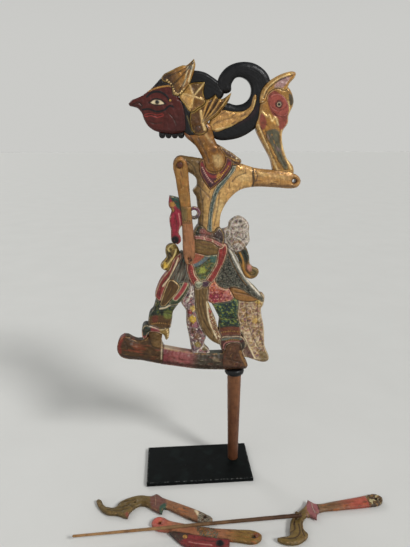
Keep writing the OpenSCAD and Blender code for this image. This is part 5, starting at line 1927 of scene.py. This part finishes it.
@dataclass
class HungArm(SubAssembly):
    """The upper arm on the figure, its armlet and the peg it swings on; sizes in millimetres."""

    peg_radius: float = 2.2
    peg_from: float = -10.4
    peg_to: float = 18.4
    head_height: float = 1.4
    lie: float = 97.0
    shoulder: Place = (-67.0, 0.0, 395.5)

    def make_upper_arm(self) -> None:
        """Makes the upper arm, brown gold above the armlet and salmon brown below it."""
        arm = Board("near_upper_arm", SKIN, Paint(160, 118, 64, 0.5), 0.6, 2.0, 4.5)
        arm.fade((-63, 340), (-61, 326), Paint(152, 104, 70)).streaks(101, BROWN, self.lie, 2.6, 0.3)
        arm.streaks(102, ORANGE, self.lie, 2.2, 0.2)
        arm.patch([(-67, 349), (-60, 347), (-60, 334), (-66, 334)], Paint(70, 78, 54), 2.4, 0.6)
        arm.beads([(-66, 333), (-53, 333)], 1.0, 0.3, OCHRE)
        arm.groove([(-67, 349), (-54, 349)], [(-66, 330.5), (-53, 330.5)], depth=0.4, width=0.7)
        self.keep(arm.dab((-56, 287), 2.2, DARK_BROWN).rim(DARK_BROWN, 0.4, inset=0.4))

    def make_wing(self) -> None:
        """Makes the armlet's wing: a dark leaf, a gold heart, a crimson crescent and a black ball."""
        wing = Board("near_armlet_wing", PAINTED, Paint(140, 38, 54), 0.55)
        wing.patch([(-80, 365), (-70, 363), (-62, 356), (-64, 345), (-72, 350)], Paint(36, 66, 54), 1.4)
        wing.dab((-76, 352), 3.6, GOLD).spot(OCHRE, (-76, 346), radius=2.4, rise=0.4)
        wing.spot(BLACK, (-73.5, 311.5), radius=4.2, rise=0.4).flecks(103, Paint(96, 30, 42), 5.0, 0.26)
        wing.stripe(PINK, [(-69, 342), (-67.5, 330), (-69, 320)], width=1.2, share=0.8)
        self.keep(wing.groove([(-73, 340), (-71.5, 330), (-72.5, 320)], depth=0.5).rim(DARK_BROWN, 0.7))

    def make_ring(self) -> None:
        """Makes the armlet's ring, purple above and grey below."""
        ring = Board("near_armlet_ring", PAINTED, Paint(96, 48, 68), 0.5, 1.0, 2.0)
        self.keep(ring.fade((-48, 343), (-48, 337), Paint(62, 60, 60)).rim(MAUVE))

    def make_peg(self) -> None:
        """Makes the peg, with a domed head at each end."""
        low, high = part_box("shoulder_peg")
        head = (high.x - low.x) / 2 / MM
        dome = [(head * math.cos(a), self.head_height * math.sin(a)) for a in np.radians(range(15, 90, 15))]
        near, far = self.peg_from + self.head_height, self.peg_to - self.head_height
        rows = [(r, near - h) for r, h in reversed(dome)]
        rows += [(head, near), (self.peg_radius, near), (self.peg_radius, far), (head, far)]
        rows += [(r, far + h) for r, h in dome]
        self.keep(Turned("shoulder_peg", TURNED_WOOD, Paint(84, 46, 30), rows, self.shoulder,
                         (0.0, -1.0, 0.0), 32))


@dataclass
class LooseArms(SubAssembly):
    """The arm pieces that lie on the table."""

    finger: float = 0.6
    bead: float = 1.0

    def make_near_forearm(self) -> None:
        """Makes the near forearm and its olive-brown hand with long curved fingers."""
        arm = Board("near_forearm", LAID_SKIN, Paint(140, 96, 66), 0.6, 1.8, 4.0)
        arm.streaks(111, ORANGE, -25, 2.6, 0.24).streaks(112, BROWN, -25, 2.4, 0.28)
        arm.fade((-98, -78), (-108, -74), Paint(112, 92, 52, 0.2)).flecks(119, Paint(72, 58, 34), 7.0, 0.26)
        arm.patch([(-108, -60), (-94, -66), (-90, -86), (-96, -95), (-108, -84)], Paint(112, 72, 62), 1.2)
        arm.patch([(-98, -84), (-91, -80), (-91, -94), (-97, -95)], Paint(46, 84, 68), 1.4, 0.9)
        arm.beads([(-104, -65), (-103, -74), (-103, -83)], self.bead, 0.35, Paint(150, 112, 92))
        arm.stripe(CREAM, [(-56, -94), (-50, -108)], width=3.4, soft=1.2, share=0.85)
        arm.dab((-135, -93), 4.0, Paint(128, 66, 54))
        zone = [(-50, -95), (-37, -104), (-40, -114), (-54, -110)]
        arm.patch(zone, Paint(128, 122, 104), 1.4, 0.85)
        arm.brocade(120, [DARK_GREEN, SILVER, BROWN], 2.8, zone)
        arm.groove([(-168, -70), (-156, -82), (-144, -82), (-134, -78)],
                   [(-160, -84), (-146, -87), (-134, -84)], [(-150, -77), (-140, -73), (-128, -70)],
                   [(-134, -92), (-128, -84), (-120, -78)], depth=self.finger)
        self.keep(arm.rim(DARK_BROWN, inset=0.5))

    def make_far_upper_arm(self) -> None:
        """Makes the loose upper arm, coral at the elbow and olive ochre at the shoulder."""
        arm = Board("far_upper_arm", LAID_SKIN, Paint(158, 104, 74), 0.6, 1.8, 4.5)
        arm.fade((-78, -115), (-102, -106), Paint(186, 94, 82))
        arm.fade((-34, -129), (-8, -134), Paint(134, 104, 54, 0.3))
        arm.streaks(113, ORANGE, -12, 2.6, 0.24).streaks(114, BROWN, -12, 2.4, 0.28)
        zone = [(-58, -114), (-38, -120), (-34, -136), (-52, -132)]
        arm.brocade(121, [DARK_GREEN, OLIVE, Paint(96, 112, 98)], 2.8, zone)
        arm.dab((8, -135), 4.0, Paint(124, 62, 42))
        arm.beads([(-52, -118), (-47, -131)], self.bead, 0.35, OCHRE)
        arm.groove([(-57, -116), (-51, -131)], [(-41, -120), (-35, -135)], depth=0.5, width=0.7)
        self.keep(arm.rim(DARK_BROWN, 0.45, inset=0.5))

    def make_far_wing(self) -> None:
        """Makes the armlet wing of the loose upper arm, dull maroon."""
        wing = Board("far_armlet_wing", LAID_PAINT, Paint(124, 46, 46), 0.55)
        wing.patch([(-88, -121), (-66, -125), (-74, -136), (-82, -130)], DARK_GREEN, 1.2, 0.8)
        wing.spot(BLACK, (-33, -143), radius=4.0, rise=0.35).spot(GOLD, (-70, -131), radius=2.6, rise=0.35)
        wing.stripe(PINK, [(-66, -139), (-54, -142), (-42, -145)], width=1.2, share=0.7)
        wing.groove([(-68, -134), (-52, -137), (-38, -140)], depth=0.5)
        self.keep(wing.flecks(104, Paint(84, 34, 40), 4.0, 0.28).rim(DARK_BROWN, 0.6))

    def make_far_forearm(self) -> None:
        """Makes the far forearm, coral towards a dark elbow end with pale dabs."""
        arm = Board("far_forearm", LAID_SKIN, Paint(126, 94, 64), 0.6, 1.8, 4.5)
        arm.fade((104, -96), (138, -93), Paint(170, 82, 66)).streaks(115, ORANGE, 6, 2.6, 0.22)
        arm.streaks(116, BROWN, 6, 2.4, 0.26)
        zone = [(152, -80), (166, -80), (176, -90), (166, -102), (152, -103)]
        arm.patch(zone, Paint(66, 56, 36), 1.4, 0.95)
        arm.brocade(117, [DARK_BROWN, OCHRE, Paint(206, 190, 142)], 4.6, zone)
        arm.groove([(152, -82), (150, -102)], [(100, -98), (120, -96.5), (134, -95)], depth=0.4, width=0.7)
        self.keep(arm.rim(DARK_BROWN, 0.45, inset=0.5))

    def make_far_hand(self) -> None:
        """Makes the far hand, olive gold with dark finger lines and a mauve wristband."""
        hand = Board("far_hand", LAID_SKIN, Paint(120, 98, 54, 0.25), 0.55, 1.8, 3.6)
        hand.flecks(118, Paint(76, 58, 34), 6.0, 0.3).dab((67, -127), 3.0, Paint(124, 62, 52))
        wristband = [(73, -96), (79, -84), (89, -92), (89, -106), (82, -118), (72, -111)]
        hand.patch(wristband, Paint(152, 94, 94), 1.0)
        hand.beads([(82, -93), (81, -101), (82, -109)], self.bead, 0.35, Paint(184, 146, 136))
        hand.stripe(OLIVE_GOLD, [(74, -97), (72.5, -104), (74, -111)])
        lines = ([(36, -141), (48, -142), (56, -136), (58, -124)], [(46, -134), (52, -130), (54, -120)],
                 [(60, -140), (60, -130), (62, -120)], [(66, -106), (58, -113), (52, -124)])
        hand.stripe(Paint(78, 40, 30), *lines, width=1.0, soft=0.6, share=0.7)
        self.keep(hand.groove(*lines, depth=self.finger).rim(DARK_BROWN, inset=0.5))


@dataclass
class ControlRod(SubAssembly):
    """The control rod and the thread that ties it to the far hand; sizes in millimetres."""

    tie: Place = (58.0, -114.0, 8.8)
    angle: float = 182.3
    overhang: float = 6.0
    length: float = 250.0
    butt_radius: float = 2.42
    tip_radius: float = 1.45
    thread: float = 0.45
    thread_sides: int = 8
    turns: float = 3.5
    knot_height: float = 2.0

    def make_rod(self) -> None:
        """Makes the shaved rod, dark at the tie and paler towards its tip."""
        rng = np.random.default_rng(121)
        whole = self.overhang + self.length
        rows = [(1.2, 0.0)]
        for run in np.arange(0.6, whole - 0.5, 2.4):
            share = run / whole
            radius = self.butt_radius + (self.tip_radius - self.butt_radius) * share
            rows.append((radius - rng.uniform(0, 0.09), run))
        rows.append((0.5, whole))
        way = (math.cos(math.radians(self.angle)), math.sin(math.radians(self.angle)), 0.0)
        start = tuple(np.array(self.tie) - self.overhang * np.array(way))
        self.keep(Turned("control_rod", ROD, Paint(70, 46, 30), rows, start, way, sides=14, uneven=0.3,
                         far_end=Paint(150, 114, 74)))

    def make_knot(self) -> None:
        """Makes the thread: a stem through rod and hand, turns on top and two cut ends."""
        low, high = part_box("rod_thread")
        foot, head = low.z / MM + 0.1, high.z / MM
        top = head - self.knot_height
        sides = self.thread_sides
        path = [np.array((0.0, 0.0, z)) for z in np.linspace(foot, top, 14)]
        for a in np.linspace(0, self.turns * math.tau, 60):
            reach = 0.5 + 0.9 * math.sin(min(1.0, a / 5) * math.pi / 2) - 0.08 * a / math.tau
            path.append(np.array((reach * math.cos(a), reach * math.sin(a),
                                  top + 0.3 + 1.3 * a / (self.turns * math.tau))))
        path += [np.array((1.4 + 0.5 * k, -1.0 - 0.6 * k, head - 0.5 - 0.12 * k * k)) for k in range(4)]
        line = np.array(path) + (self.tie[0], self.tie[1], 0)
        lean = unit(np.gradient(line, axis=0))
        side = unit(np.cross(lean, (0.3, 0.2, 0.93)))
        up = np.cross(lean, side)
        turn = np.arange(sides) * math.tau / sides
        rings = [p + self.thread * (np.outer(np.cos(turn + 0.5 * i), s) + np.outer(np.sin(turn + 0.5 * i), u))
                 for i, (p, s, u) in enumerate(zip(line, side, up))]
        places = np.vstack(rings) * MM
        here = np.arange(len(places)).reshape(-1, sides)
        faces = sleeve(here) + [here[0, ::-1].tolist(), here[-1].tolist()]
        tone = np.tile(Paint(104, 84, 60).light(), (len(places), 1))
        marks = {"paint": tone, "cavity": np.full(len(places), 0.25), "rub": np.zeros(len(places))}
        self.made.append(finished("tied_thread", "rod_thread", COTTON, places, faces, marks))


@dataclass
class Studio:
    """Pale floor, soft lights and the camera; lengths in metres, angles in degrees."""

    floor_size: float = 30.0
    floor_drop: float = 0.0003
    camera_place: Place = (-0.0817, -0.5573, 0.424)
    yaw: float = 4.5
    pitch: float = 15.76
    lens: float = 31.6
    sensor: float = 36.0
    horizon: tuple[float, ...] = (0.595, 0.595, 0.575, 1.0)
    zenith: tuple[float, ...] = (0.34, 0.35, 0.35, 1.0)
    paper: tuple[float, ...] = (0.64, 0.635, 0.61, 1.0)
    pale_paper: tuple[float, ...] = (0.69, 0.685, 0.66, 1.0)
    looked_at: Place = (0.0, 0.0, 0.25)

    def floor(self) -> None:
        """Lays the pale floor."""
        half, level = self.floor_size / 2, -self.floor_drop
        corners = [(-half, -half, level), (half, -half, level), (half, half, level), (-half, half, level)]
        mesh = bpy.data.meshes.new("floor")
        mesh.from_pydata(corners, [], [(0, 1, 2, 3)])
        paper = bpy.data.materials.new("pale_paper")
        paper.use_nodes = True
        shader = paper.node_tree.nodes["Principled BSDF"]
        wire = Wiring(paper.node_tree)
        tone = wire.noise(wire.where(), 9.0, 3.0)
        wire.put(shader.inputs["Base Color"], wire.mix(tone, self.paper, self.pale_paper))
        shader.inputs["Roughness"].default_value = 0.8
        mesh.materials.append(paper)
        floor = bpy.data.objects.new("floor", mesh)
        bpy.context.scene.collection.objects.link(floor)

    def lamp(self, name: str, kind: str, place: Place, power: float, spread: float) -> None:
        """Hangs one soft lamp that looks at the puppet.

        Args:
            name: The lamp's name.
            kind: SUN, or AREA for a square lamp.
            place: Where it hangs.
            power: Its power.
            spread: Angle of a sun, in degrees, or side of a square lamp.
        """
        data = bpy.data.lights.new(name, kind)
        data.energy = power
        if kind == "SUN":
            data.angle = math.radians(spread)
        else:
            data.size = spread
        lamp = bpy.data.objects.new(name, data)
        lamp.location = place
        lamp.rotation_euler = (Vector(self.looked_at) - Vector(place)).to_track_quat("-Z", "Y").to_euler()
        bpy.context.scene.collection.objects.link(lamp)

    def world(self) -> None:
        """Makes the pale surroundings, which meet the floor's tone at the horizon."""
        world = bpy.data.worlds.new("pale_room")
        world.use_nodes = True
        back = world.node_tree.nodes["Background"]
        wire = Wiring(world.node_tree)
        split = wire.add("ShaderNodeSeparateXYZ", None,
                         Vector=wire.add("ShaderNodeTexCoord").outputs["Generated"])
        rise = wire.ramp(split.outputs["Z"], 0.15, 0.8)
        wire.put(back.inputs["Color"], wire.mix(rise, self.horizon, self.zenith))
        bpy.context.scene.world = world

    def camera(self) -> None:
        """Sets the camera at the photo's viewing angle."""
        data = bpy.data.cameras.new("camera")
        data.lens, data.sensor_width = self.lens, self.sensor
        camera = bpy.data.objects.new("camera", data)
        camera.location = self.camera_place
        camera.rotation_euler = (math.radians(90 - self.pitch), 0.0, math.radians(-self.yaw))
        bpy.context.scene.collection.objects.link(camera)
        bpy.context.scene.camera = camera

    def build(self) -> None:
        """Sets up the whole studio."""
        self.floor()
        self.world()
        self.lamp("key", "SUN", (0.9, -0.9, 1.25), 1.9, 14.0)
        self.lamp("back", "SUN", (-0.8, 1.2, 1.1), 0.5, 20.0)
        self.lamp("fill", "AREA", (-0.9, -0.8, 0.7), 1.6, 0.9)
        self.camera()
        bpy.context.scene.view_settings.view_transform = "Standard"


def main() -> None:
    """Builds the sub-assemblies in order, logging each piece's points, then the studio."""
    logging.basicConfig(level=logging.INFO, format="%(name)s: %(message)s")
    groups: list[SubAssembly] = [Stand(), Feet(), Legs(), Skirts(), Waist(), Body(), Head(), BirdHead(),
                                 HungArm(), LooseArms(), ControlRod()]
    for group in groups:
        for piece in group.build():
            LOG.info("%s: %s, %d points", type(group).__name__, piece.name, len(piece.data.vertices))
    Studio().build()


if __name__ == "__main__":
    main()
